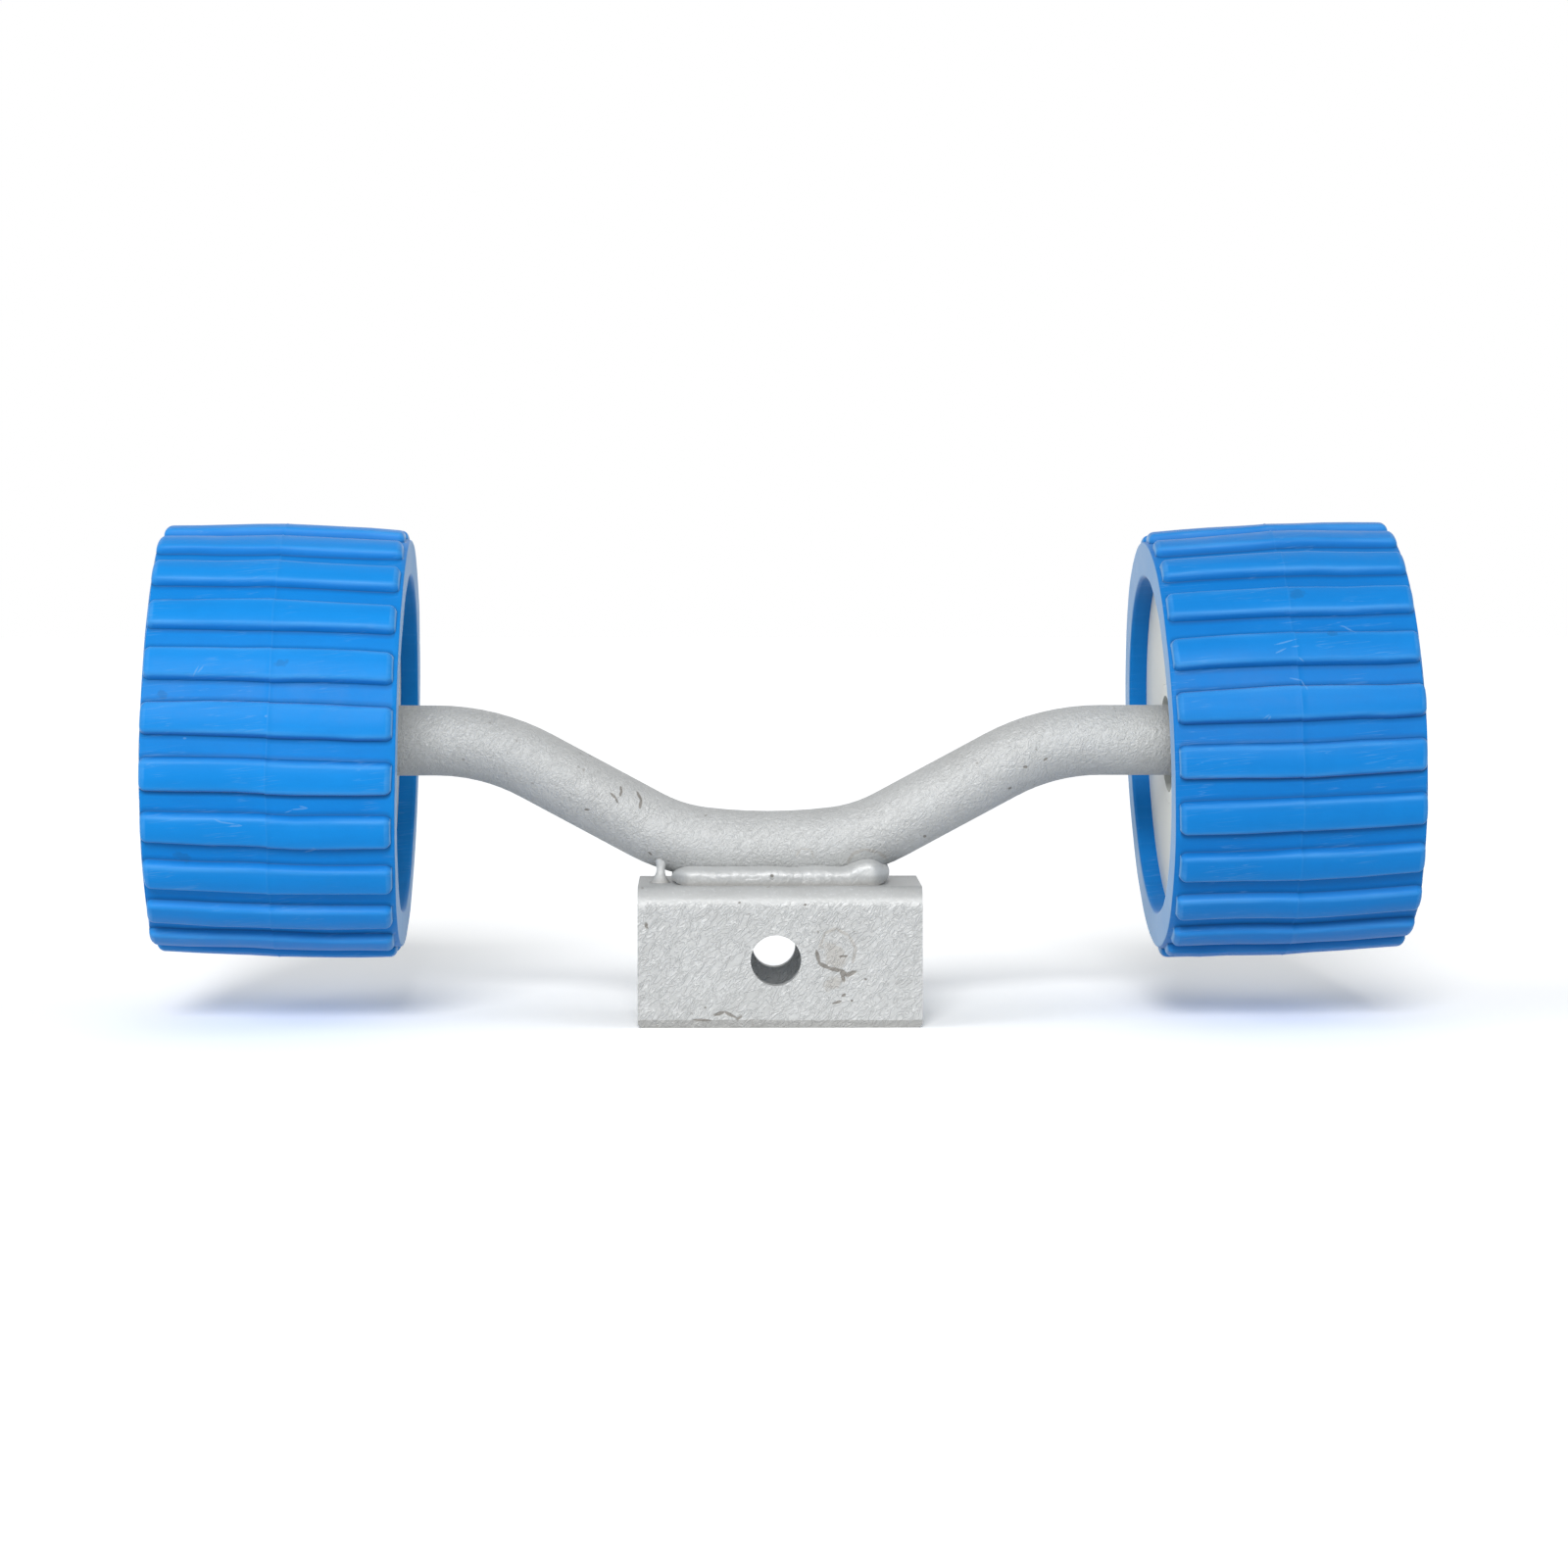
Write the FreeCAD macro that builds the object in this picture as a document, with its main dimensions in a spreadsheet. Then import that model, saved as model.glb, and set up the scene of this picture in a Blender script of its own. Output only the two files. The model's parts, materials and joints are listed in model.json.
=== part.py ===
"""Twin wobble roller arm of a boat trailer.

Two blue ribbed rollers turn and lean on the stubs of one bent round bar. The bar is welded
on top of a folded channel bracket, which pivots on one cross bolt.

Axes: X runs along the bar, Y is the boat's direction of travel (the camera side is -Y) and
+Z is up. The origin is the middle of the bracket's foot. Sizes are in millimetres and degrees.
Roller parts are modelled about their own turning axis, with +X pointing outwards, away from
the bracket, and are then placed on the left or the right stub.
"""
import FreeCAD, Part
import math
import os
import re
import Sketcher

Vector = FreeCAD.Vector


# Driving sizes, in millimetres and degrees

bracket_length = 80  # along the bar
bracket_depth = 48  # over both flanges
bracket_height = 39.5  # from the flange edges to the top
plate_thickness = 5  # folded plate
bend_radius = 6  # outside of the folds
flange_corner = 1.5  # rounding of the flanges' lower corners
sheared_height = 2.2  # height of the rolled edge left by shearing
sheared_depth = 0.6  # how far that edge rolls inwards
bolt_height = 19  # bolt axis above the flange edges
bolt_shift = -1.2  # bolt axis beside the middle
front_hole_diameter = 14.2  # bolt hole in the front flange
rear_hole_diameter = 12.5  # bolt hole in the rear flange

bar_diameter = 20  # round bar
crank_shift = -3  # middle of the bends beside the bracket's middle
saddle_radius = 155  # centre line of the gentle bend over the bracket
saddle_angle = 7  # half of the gentle bend
foot_radius = 45.5  # centre line of the bends beside the bracket
crank_angle = 28.3  # slope of the arms
shoulder_radius = 60  # centre line of the bends beside the rollers
stub_rise = 30.2  # stub axis above the bar's axis over the bracket
bar_chamfer = 1.5  # chamfer of the bar ends

weld_length = 62  # each bead
weld_shift = 0.4  # middle of the beads beside the bracket's middle
weld_margin = 0.6  # flat top left between bead and fold
weld_grip_angle = 32  # degrees below the bar's side that the bead reaches
weld_bulge = 24  # radius of the bead's round face
weld_root = 3.5  # where the bead starts under the bar, beside its middle

roller_spacing = 280.6  # between the rollers' middles
roller_width = 69.2  # over both faces
roller_diameter = 123  # over the ribs at the mould line
draft_angle = 1.5  # slope of the tread from the mould line to each face
rib_count = 24  # ribs round the tread
rib_height = 2.8  # above the grooves
rib_width = 8.4  # rib top at the mould line
rib_end_width = 8  # rib top at the faces
rib_flare = 0.4  # extra on each side at the rib's foot
rib_end_depth = 1.3  # bevel of the ribs' ends, along the rib
rib_end_drop = 1.7  # that bevel, down the end
seat_diameter = 95.4  # bore of the tyre, where the hub sits
seat_chamfer = 0.8  # chamfer of that bore
web_thickness = 10  # inner web that the hub halves clamp
web_bore = 80  # bore of that web

hub_clearance = 0.1  # between hub and tyre bore, on the radius
disc_recess = 5  # hub disc behind the tyre's face
disc_thickness = 3  # hub disc
barrel_wall = 3  # hub barrel
boss_wall = 5.4  # hub boss round the bush
hub_rib_count = 8  # stiffening ribs behind the disc
hub_rib_thickness = 2.5  # those ribs
hub_rib_gap = 1  # between those ribs and the tyre's web
pocket_diameter = 48  # pocket round the bar end, outer half only
pocket_depth = 10  # that pocket
pocket_wall = 3  # wall round and under the pocket

bush_diameter = 34  # outside of the wobble bush
bush_clearance = 0.08  # running fit of the hub on the bush, on the radius
bush_standout = 0.4  # bush end above the pocket's floor
throat_clearance = 0.25  # between the bar and the bush's waist, on the radius
waist_width = 2  # straight part of the waist
flare_angle = 7  # slope of the bush's bore on both sides of the waist
collar_diameter = 39  # collar held between the hub halves
collar_width = 4  # that collar
collar_clearance = 0.15  # round that collar

screw_count = 4  # screws through each hub
screw_circle = 66  # diameter of the circle that they stand on
screw_turn_angle = 22.5  # first screw from the top
screw_diameter = 4  # shank
screw_length = 42  # under the head
screw_clearance = 0.2  # round the shank and under the head, on the radius
screw_head_diameter = 8  # pan head
screw_head_height = 2.6  # pan head
screw_head_bevel = 0.8  # edge of the pan head
screw_sink = 3.2  # head seat below the disc's face
post_diameter = 11  # posts that the screws run in

washer_diameter = 37  # plain washer
washer_bore = 21  # plain washer
washer_thickness = 3  # plain washer
washer_gap = 2.3  # end play between bush and washer
pin_diameter = 4  # split pin
pin_clearance = 0.3  # round the split pin, on the radius, and beside the washer
pin_slit = 0.2  # between the pin's two legs
pin_eye_radius = 2.2  # inside of the pin's eye
pin_neck_radius = 2.2  # bends between eye and legs
pin_stand = 0.4  # straight legs beyond the bar, above and below
pin_bend_radius = 3  # where the legs are bent apart
pin_leg = 4.5  # straight end of each bent leg
bar_end_margin = 6.4  # bar beyond the pin's axis

left_lean_angle = 1.4  # left roller at rest, about Y
left_yaw_angle = 0.5  # left roller at rest, about Z
left_turn_angle = 8.3  # left roller at rest, about its own axis
right_lean_angle = -2.2  # right roller at rest, about Y
right_yaw_angle = 1.2  # right roller at rest, about Z
right_turn_angle = 2.4  # right roller at rest, about its own axis

sizes = {name: value for name, value in list(vars().items()) if isinstance(value, (int, float))}


# The document and its sheet, where each size has a cell of the same name

SIDES = ("left", "right")
TOLERANCE = 0.01

doc = FreeCAD.newDocument("TwinWobbleRoller")
sheet = doc.addObject("Spreadsheet::Sheet", "Sizes")
probe = doc.addObject("Part::Vertex", "Probe")
finished = []
for row, (name, value) in enumerate(sizes.items(), start=1):
    sheet.set(f"A{row}", name)
    sheet.set(f"B{row}", str(value))
    sheet.setAlias(f"B{row}", name)
doc.recompute()


def formula(text):
    """Point every size named in a formula at its cell in the sheet."""
    return re.sub(r"[a-z]+(_[a-z]+)+", lambda found: "Sizes." + found.group(0), text)


def number(text):
    """The present value of a formula."""
    probe.setExpression("X", formula(text))
    probe.recompute()
    return probe.X.Value


# Places worked out from the sizes, as formulas

STUB_HEIGHT = "(bracket_height + bar_diameter / 2 + stub_rise)"
HALF_WIDTH = "(roller_width / 2)"
DRAFT = "tan(draft_angle * 1 deg)"
TREAD_RADIUS = "(roller_diameter / 2)"
SEAT_RADIUS = "(seat_diameter / 2)"
BARREL_RADIUS = "(seat_diameter / 2 - hub_clearance)"
BARREL_INSIDE = "(seat_diameter / 2 - hub_clearance - barrel_wall)"
BOSS_BORE = "(bush_diameter / 2 + bush_clearance)"
BOSS_RADIUS = "(bush_diameter / 2 + bush_clearance + boss_wall)"
COLLAR_BORE = "(collar_diameter / 2 + collar_clearance)"
COLLAR_SEAT = "(collar_width / 2 + collar_clearance)"
DISC_FACE = "(roller_width / 2 - disc_recess)"
DISC_BACK = "(roller_width / 2 - disc_recess - disc_thickness)"
POCKET_FLOOR = "(roller_width / 2 - disc_recess - pocket_depth)"
BUSH_END = "(roller_width / 2 - disc_recess - pocket_depth + bush_standout)"
WASHER_PLACE = f"({BUSH_END} + washer_gap)"
PIN_PLACE = f"({WASHER_PLACE} + washer_thickness + pin_clearance + pin_diameter / 2)"
STUB_END = f"(roller_spacing / 2 + {PIN_PLACE} + bar_end_margin)"
SCREW_SEAT = f"({DISC_FACE} - screw_sink)"


# Helpers

def origin_plane(body, role):
    """One of a body's own origin planes."""
    return next(plane for plane in body.Origin.OriginFeatures if plane.Role == role)


def new_body(name):
    """An empty body, whose Label names the sub-part."""
    body = doc.addObject("PartDesign::Body", name)
    body.Label = name
    return body


def new_sketch(body, name, role, offset=None):
    """A sketch on one of the body's planes, moved off it by a formula if one is given."""
    sketch = body.newObject("Sketcher::SketchObject", f"{body.Name}_{name}")
    sketch.AttachmentSupport = (origin_plane(body, role), [""])
    sketch.MapMode = "FlatFace"
    if offset:
        sketch.setExpression("AttachmentOffset.Base.z", formula(offset))
    return sketch


def pin_down(sketch, kind, where, text):
    """Add one dimension to a sketch and bind it to a formula."""
    index = sketch.addConstraint(Sketcher.Constraint(kind, *where, number(text)))
    sketch.setExpression(f"Constraints[{index}]", formula(text))


def place_point(sketch, geometry, end, across, up):
    """Fix one end of a line or arc, or a centre, by its two coordinates."""
    pin_down(sketch, "DistanceX", (-1, 1, geometry, end), across)
    pin_down(sketch, "DistanceY", (-1, 1, geometry, end), up)


def add_edge(sketch, first, last, middle=None):
    """Add a line, or an arc through a middle point, and say which of its ends comes first."""
    if middle is None:
        sketch.addGeometry(Part.LineSegment(first, last), False)
        return 1
    anticlockwise = (middle - first).cross(last - middle).z > 0
    if anticlockwise:
        sketch.addGeometry(Part.Arc(first, middle, last), False)
        return 1
    sketch.addGeometry(Part.Arc(last, middle, first), False)
    return 2


def outline(body, name, role, corners, offset=None):
    """A closed outline of lines and arcs through corners.

    A corner is (across, up), or (across, up, radius) where an arc runs on to the next corner.
    The arc bulges to the left of the way there, or to the right if its radius starts with "-".
    """
    sketch = new_sketch(body, name, role, offset)
    points = [Vector(number(corner[0]), number(corner[1]), 0) for corner in corners]
    starts = []
    for here, corner in enumerate(corners):
        first = points[here]
        last = points[(here + 1) % len(points)]
        middle = None
        if len(corner) == 3:
            radius = number(corner[2])
            chord = last - first
            rise = abs(radius) - math.sqrt(radius ** 2 - chord.Length ** 2 / 4)
            left = Vector(-chord.y, chord.x, 0).normalize()
            middle = (first + last) / 2 + left * math.copysign(rise, radius)
        starts.append(add_edge(sketch, first, last, middle))
    for here, corner in enumerate(corners):
        after = (here + 1) % len(corners)
        sketch.addConstraint(Sketcher.Constraint("Coincident", here, 3 - starts[here], after, starts[after]))
        place_point(sketch, here, starts[here], corner[0], corner[1])
        if len(corner) == 3:
            pin_down(sketch, "Radius", (here,), corner[2].lstrip("-"))
    return sketch


def circle(body, name, role, across, up, diameter, offset=None):
    """A sketch that holds one circle."""
    sketch = new_sketch(body, name, role, offset)
    centre = Vector(number(across), number(up), 0)
    sketch.addGeometry(Part.Circle(centre, Vector(0, 0, 1), number(diameter) / 2), False)
    place_point(sketch, 0, 3, across, up)
    pin_down(sketch, "Diameter", (0,), diameter)
    return sketch


def turned(body, name, sketch, kind="PartDesign::Revolution"):
    """Turn an outline about the X axis, or cut it away as a groove."""
    feature = body.newObject(kind, f"{body.Name}_{name}")
    feature.Profile = sketch
    feature.ReferenceAxis = (sketch, ["H_Axis"])
    feature.Angle = 360
    doc.recompute()
    return feature


def pad(body, name, sketch, length, symmetric=True, reversed_way=False):
    """Thicken an outline."""
    feature = body.newObject("PartDesign::Pad", f"{body.Name}_{name}")
    feature.Profile = sketch
    feature.setExpression("Length", formula(length))
    feature.Midplane = symmetric
    feature.Reversed = reversed_way
    doc.recompute()
    return feature


def pocket(body, name, sketch, length, reversed_way, symmetric=False):
    """Cut an outline into the body, and make sure that it took something away."""
    before = body.Shape.Volume
    feature = body.newObject("PartDesign::Pocket", f"{body.Name}_{name}")
    feature.Profile = sketch
    feature.setExpression("Length", formula(length))
    feature.Reversed = reversed_way
    feature.Midplane = symmetric
    doc.recompute()
    if not body.Shape.Volume < before - TOLERANCE:
        raise RuntimeError(f"{feature.Name} cuts nothing")
    return feature


def dress(body, kind, name, amount, chosen):
    """Round or chamfer the edges that a test chooses; kind is Fillet or Chamfer."""
    base = body.Tip
    edges = [f"Edge{index + 1}" for index, edge in enumerate(base.Shape.Edges) if chosen(edge.BoundBox)]
    feature = body.newObject(f"PartDesign::{kind}", f"{body.Name}_{name}")
    feature.Base = (base, edges)
    feature.setExpression("Radius" if kind == "Fillet" else "Size", formula(amount))
    doc.recompute()
    return feature


def round_pattern(body, name, features, count):
    """Repeat features round the X axis."""
    axis = next(line for line in body.Origin.OriginFeatures if line.Role == "X_Axis")
    pattern = body.newObject("PartDesign::PolarPattern", f"{body.Name}_{name}")
    pattern.Originals = features
    pattern.Axis = (axis, [""])
    pattern.Angle = 360
    pattern.setExpression("Occurrences", formula(count))
    body.Tip = pattern
    doc.recompute()
    return pattern


def finish(part):
    """Put a finished sub-part on the list that is checked and written."""
    finished.append(part)
    return part


def place_on_stub(part, side, yaw="0", pitch="0", roll="0"):
    """Put a part's frame in the middle of its roller's place, with +X outwards along the stub."""
    way, facing = ("-", "180") if side == "left" else ("", "0")
    middle = f"create(<<vector>>; {way}roller_spacing / 2; 0; {STUB_HEIGHT})"
    turned_by = f"create(<<rotation>>; {facing} + {yaw}; {pitch}; {roll})"
    part.setExpression("Placement", formula(f"create(<<placement>>; {middle}; {turned_by})"))


def place_as_roller(part, side, turn="0"):
    """The same, with the yaw, lean and turn that the roller rests at; turn is added to the last."""
    lean = f"-{side}_lean_angle" if side == "left" else f"{side}_lean_angle"
    place_on_stub(part, side, f"{side}_yaw_angle", lean, f"{side}_turn_angle + {turn}")


# Folded channel bracket

def make_bracket():
    """U channel open downwards, with one bolt hole through each flange."""
    body = new_body("bracket_channel")
    out = "(bracket_depth / 2)"
    inside = "(bracket_depth / 2 - plate_thickness)"
    shoulder = "(bracket_depth / 2 - bend_radius)"
    under = "(bracket_height - plate_thickness)"
    inner_bend = "(bend_radius - plate_thickness)"
    section = outline(body, "section", "YZ_Plane", [
        (f"-{out}", "0"),
        (f"-{inside}", "0"),
        (f"-{inside}", f"{under} - {inner_bend}", f"{inner_bend}"),
        (f"-{shoulder}", under),
        (shoulder, under, f"{inner_bend}"),
        (inside, f"{under} - {inner_bend}"),
        (inside, "0"),
        (out, "0"),
        (out, "bracket_height - bend_radius", "-bend_radius"),
        (shoulder, "bracket_height"),
        (f"-{shoulder}", "bracket_height", "-bend_radius"),
        (f"-{out}", "bracket_height - bend_radius"),
    ])
    pad(body, "fold", section, "bracket_length")
    dress(body, "Fillet", "corners", "flange_corner",
          lambda box: box.XLength < TOLERANCE and box.ZMax < TOLERANCE)
    for name, way in (("front", "-"), ("rear", "")):
        wedge = outline(body, f"{name}_edge", "YZ_Plane", [
            (f"{way}({out} - sheared_depth)", "0"),
            (f"{way}{out}", "sheared_height"),
            (f"{way}({out} + sheared_depth)", "sheared_height"),
            (f"{way}({out} + sheared_depth)", "-sheared_depth"),
            (f"{way}({out} - sheared_depth)", "-sheared_depth"),
        ])
        pocket(body, f"{name}_shear", wedge, "bracket_length", False, True)
    front = circle(body, "front_hole", "XZ_Plane", "bolt_shift", "bolt_height", "front_hole_diameter")
    pocket(body, "front_cut", front, "bracket_depth", True)
    rear = circle(body, "rear_hole", "XZ_Plane", "bolt_shift", "bolt_height", "rear_hole_diameter")
    pocket(body, "rear_cut", rear, "bracket_depth", False)
    return finish(body)


# Bent bar

def bar_path(body):
    """Centre line of the bar: saddle, two feet, two arms, two shoulders and two stubs."""
    sketch = new_sketch(body, "path", "XZ_Plane")
    middle = number("crank_shift")
    low = number("bracket_height + bar_diameter / 2")
    saddle = number("saddle_radius")
    foot = number("foot_radius")
    shoulder = number("shoulder_radius")
    half = math.radians(number("saddle_angle"))
    slope = math.radians(number("crank_angle"))
    bends_rise = saddle * (1 - math.cos(half)) + foot * (math.cos(half) - math.cos(slope))
    bends_rise += shoulder * (1 - math.cos(slope))
    arm = (number("stub_rise") - bends_rise) / math.sin(slope)

    def on_arc(centre, radius, turn):
        return centre + Vector(radius * math.sin(turn), -radius * math.cos(turn), 0)

    saddle_centre = Vector(middle, low + saddle, 0)
    ends = {}
    for way in (-1, 1):
        saddle_end = on_arc(saddle_centre, saddle, way * half)
        foot_centre = on_arc(saddle_centre, saddle - foot, way * half)
        foot_end = on_arc(foot_centre, foot, way * slope)
        arm_end = foot_end + Vector(way * arm * math.cos(slope), arm * math.sin(slope), 0)
        shoulder_centre = on_arc(arm_end, shoulder, way * slope)
        shoulder_end = shoulder_centre + Vector(0, shoulder, 0)
        stub_end = Vector(way * number(STUB_END), shoulder_end.y, 0)
        foot_middle = on_arc(foot_centre, foot, way * (half + slope) / 2)
        shoulder_middle = on_arc(shoulder_centre, -shoulder, way * slope / 2)
        ends[way] = (saddle_end, foot_middle, foot_end, arm_end, shoulder_middle, shoulder_end, stub_end)
    left, right = ends[-1], ends[1]
    starts = [
        add_edge(sketch, left[6], left[5]),
        add_edge(sketch, left[5], left[3], left[4]),
        add_edge(sketch, left[3], left[2]),
        add_edge(sketch, left[2], left[0], left[1]),
        add_edge(sketch, left[0], right[0], Vector(middle, low, 0)),
        add_edge(sketch, right[0], right[2], right[1]),
        add_edge(sketch, right[2], right[3]),
        add_edge(sketch, right[3], right[5], right[4]),
        add_edge(sketch, right[5], right[6]),
    ]
    for index in range(len(starts) - 1):
        join = (index, 3 - starts[index], index + 1, starts[index + 1])
        sketch.addConstraint(Sketcher.Constraint("Tangent", *join))
    stub_l, shoulder_l, arm_l, foot_l, saddle_arc, foot_r, arm_r, shoulder_r, stub_r = range(9)
    place_point(sketch, saddle_arc, 3, "crank_shift", "bracket_height + bar_diameter / 2 + saddle_radius")
    pin_down(sketch, "Radius", (saddle_arc,), "saddle_radius")
    for index in (foot_l, foot_r):
        pin_down(sketch, "Radius", (index,), "foot_radius")
    for index in (shoulder_l, shoulder_r):
        pin_down(sketch, "Radius", (index,), "shoulder_radius")
    half_chord = "saddle_radius * sin(saddle_angle * 1 deg)"
    pin_down(sketch, "DistanceX", (-1, 1, foot_l, 3 - starts[foot_l]), f"crank_shift - {half_chord}")
    pin_down(sketch, "DistanceX", (-1, 1, foot_r, starts[foot_r]), f"crank_shift + {half_chord}")
    for index, way in ((arm_l, -1), (arm_r, 1)):
        angle = sketch.addConstraint(Sketcher.Constraint("Angle", index, way * slope))
        sketch.setExpression(f"Constraints[{angle}]", formula(f"{way} * crank_angle * 1 deg"))
    for index, way in ((stub_l, "-"), (stub_r, "")):
        outer = 1 if index == stub_l else 2
        sketch.addConstraint(Sketcher.Constraint("Horizontal", index))
        place_point(sketch, index, outer, f"{way}{STUB_END}", STUB_HEIGHT)
    return sketch


def make_bar():
    """Round bar bent along its path, chamfered and cross drilled at both ends."""
    body = new_body("axle_bar")
    path = bar_path(body)
    section = circle(body, "section", "YZ_Plane", "0", STUB_HEIGHT, "bar_diameter", f"-{STUB_END}")
    doc.recompute()
    pipe = body.newObject("PartDesign::AdditivePipe", "axle_bar_pipe")
    pipe.Profile = section
    pipe.Spine = (path, [f"Edge{index + 1}" for index in range(9)])
    doc.recompute()
    end = number(STUB_END) - TOLERANCE
    dress(body, "Chamfer", "ends", "bar_chamfer",
          lambda box: box.XLength < TOLERANCE and abs(box.XMin) > end)
    for way, side in (("-", "left"), ("", "right")):
        place = f"{way}(roller_spacing / 2 + {PIN_PLACE})"
        drill = circle(body, f"{side}_pin_hole", "XY_Plane", place, "0", "pin_diameter + 2 * pin_clearance")
        pocket(body, f"{side}_drill", drill, f"2 * {STUB_HEIGHT}", True)
    return finish(body)


# Welds

def make_weld(name, way, bar):
    """Fillet bead between the bar and the bracket's top; way is -1 at the front, 1 at the rear."""
    body = new_body(f"{name}_blank")
    sign = "-" if way < 0 else ""
    foot = "(bracket_depth / 2 - bend_radius - weld_margin)"
    grip_across = "(bar_diameter / 2 * cos(weld_grip_angle * 1 deg))"
    grip_up = "(bracket_height + bar_diameter / 2 * (1 - sin(weld_grip_angle * 1 deg)))"
    bulge = "-weld_bulge" if way > 0 else "weld_bulge"
    section = outline(body, "section", "YZ_Plane", [
        (f"{sign}weld_root", "bracket_height"),
        (f"{sign}{foot}", "bracket_height", bulge),
        (f"{sign}{grip_across}", grip_up),
        (f"{sign}{grip_across} / 2", f"{grip_up} + bar_diameter / 4"),
        (f"{sign}weld_root", f"{grip_up} + bar_diameter / 4"),
    ])
    pad(body, "bead", section, "weld_length")
    body.setExpression("Placement.Base.x", formula("weld_shift"))
    weld = doc.addObject("Part::Cut", name)
    weld.Base = body
    weld.Tool = bar
    weld.Label = name
    doc.recompute()
    return finish(weld)


# Tyre

def make_tyre(side):
    """Ribbed roller tyre, split at the mould line, with an inner web for the hub."""
    body = new_body(f"{side}_tyre")
    groove_radius = f"({TREAD_RADIUS} - rib_height)"
    face_drop = f"({HALF_WIDTH} * {DRAFT})"
    half_web = "(web_thickness / 2)"
    ring = outline(body, "section", "XZ_Plane", [
        (f"-{HALF_WIDTH}", f"{SEAT_RADIUS} + seat_chamfer"),
        (f"-{HALF_WIDTH}", f"{groove_radius} - {face_drop}"),
        ("0", groove_radius),
        (HALF_WIDTH, f"{groove_radius} - {face_drop}"),
        (HALF_WIDTH, f"{SEAT_RADIUS} + seat_chamfer"),
        (f"{HALF_WIDTH} - seat_chamfer", SEAT_RADIUS),
        (half_web, SEAT_RADIUS),
        (half_web, "web_bore / 2"),
        (f"-{half_web}", "web_bore / 2"),
        (f"-{half_web}", SEAT_RADIUS),
        (f"seat_chamfer - {HALF_WIDTH}", SEAT_RADIUS),
    ])
    turned(body, "ring", ring)

    def rib_section(name, width, top, offset):
        foot_radius = f"({groove_radius} - {face_drop} - rib_height / 2)"
        foot_half = f"({width} / 2 + rib_flare / rib_height * ({top} - {foot_radius}))"
        return outline(body, name, "YZ_Plane", [
            (f"-{foot_half}", foot_radius),
            (foot_half, foot_radius),
            (f"{width} / 2", top),
            (f"-{width} / 2", top),
        ], offset)

    face_top = f"({TREAD_RADIUS} - {face_drop})"
    near = rib_section("rib_near", "rib_end_width", face_top, f"-{HALF_WIDTH}")
    middle = rib_section("rib_middle", "rib_width", TREAD_RADIUS, "0")
    far = rib_section("rib_far", "rib_end_width", face_top, HALF_WIDTH)
    doc.recompute()
    rib = body.newObject("PartDesign::AdditiveLoft", f"{body.Name}_rib")
    rib.Profile = near
    rib.Sections = [middle, far]
    rib.Ruled = True
    doc.recompute()
    round_pattern(body, "ribs", [rib], "rib_count")

    bevel_in = f"({HALF_WIDTH} - rib_end_depth)"
    bevel_top = f"({TREAD_RADIUS} - {bevel_in} * {DRAFT})"
    bevel_foot = f"({face_top} - rib_end_drop)"
    clear = f"({TREAD_RADIUS} + rib_height)"
    beyond = f"({HALF_WIDTH} + rib_height)"
    for name, way in (("outer", ""), ("inner", "-")):
        corner = outline(body, f"{name}_bevel", "XZ_Plane", [
            (f"{way}{bevel_in}", bevel_top),
            (f"{way}{bevel_in}", clear),
            (f"{way}{beyond}", clear),
            (f"{way}{beyond}", bevel_foot),
            (f"{way}{HALF_WIDTH}", bevel_foot),
        ])
        turned(body, f"{name}_bevelled", corner, "PartDesign::Groove")
    place_as_roller(body, side)
    return finish(body)


# Hub halves

def screw_posts(body, way, depth_out):
    """Posts from a hub disc to the parting plane; way is "-" on the inner half."""
    turn = "screw_turn_angle * 1 deg"
    across = f"(screw_circle / 2 * sin({turn}))"
    up = f"(screw_circle / 2 * cos({turn}))"
    post = circle(body, "post", "YZ_Plane", across, up, "post_diameter")
    solid = pad(body, "post", post, depth_out, False, way == "-")
    return across, up, solid


def hub_ribs(body, name, corners):
    """Radial stiffening ribs behind a hub disc."""
    sketch = outline(body, name, "XZ_Plane", corners)
    rib = pad(body, f"{name}_rib", sketch, "hub_rib_thickness")
    round_pattern(body, f"{name}_ribs", [rib], "hub_rib_count")


def make_hub_inner(side):
    """Hub half that faces the bracket: plain disc, barrel, boss, ribs and blind screw posts."""
    body = new_body(f"{side}_hub_inner")
    half_web = "(web_thickness / 2)"
    cup = outline(body, "section", "XZ_Plane", [
        (f"-{DISC_FACE}", BOSS_BORE),
        (f"-{DISC_FACE}", BARREL_RADIUS),
        (f"-{half_web}", BARREL_RADIUS),
        (f"-{half_web}", BARREL_INSIDE),
        (f"-{DISC_BACK}", BARREL_INSIDE),
        (f"-{DISC_BACK}", BOSS_RADIUS),
        ("0", BOSS_RADIUS),
        ("0", COLLAR_BORE),
        (f"-{COLLAR_SEAT}", COLLAR_BORE),
        (f"-{COLLAR_SEAT}", BOSS_BORE),
    ])
    turned(body, "cup", cup)
    disc_middle = f"({DISC_BACK} + disc_thickness / 2)"
    rib_end = f"({half_web} + hub_rib_gap)"
    hub_ribs(body, "stiff", [
        (f"-{disc_middle}", f"{BOSS_RADIUS} - boss_wall / 2"),
        (f"-{disc_middle}", f"{BARREL_INSIDE} + barrel_wall / 2"),
        (f"-{rib_end}", f"{BARREL_INSIDE} + barrel_wall / 2"),
        (f"-{rib_end}", f"{BOSS_RADIUS} - boss_wall / 2"),
    ])
    across, up, post = screw_posts(body, "-", disc_middle)
    round_pattern(body, "posts", [post], "screw_count")
    pilot = circle(body, "pilot", "YZ_Plane", across, up, "screw_diameter")
    depth = f"(screw_length - {SCREW_SEAT} + screw_clearance)"
    hole = pocket(body, "pilot", pilot, depth, False)
    round_pattern(body, "pilots", [hole], "screw_count")
    place_as_roller(body, side)
    return finish(body)


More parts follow.
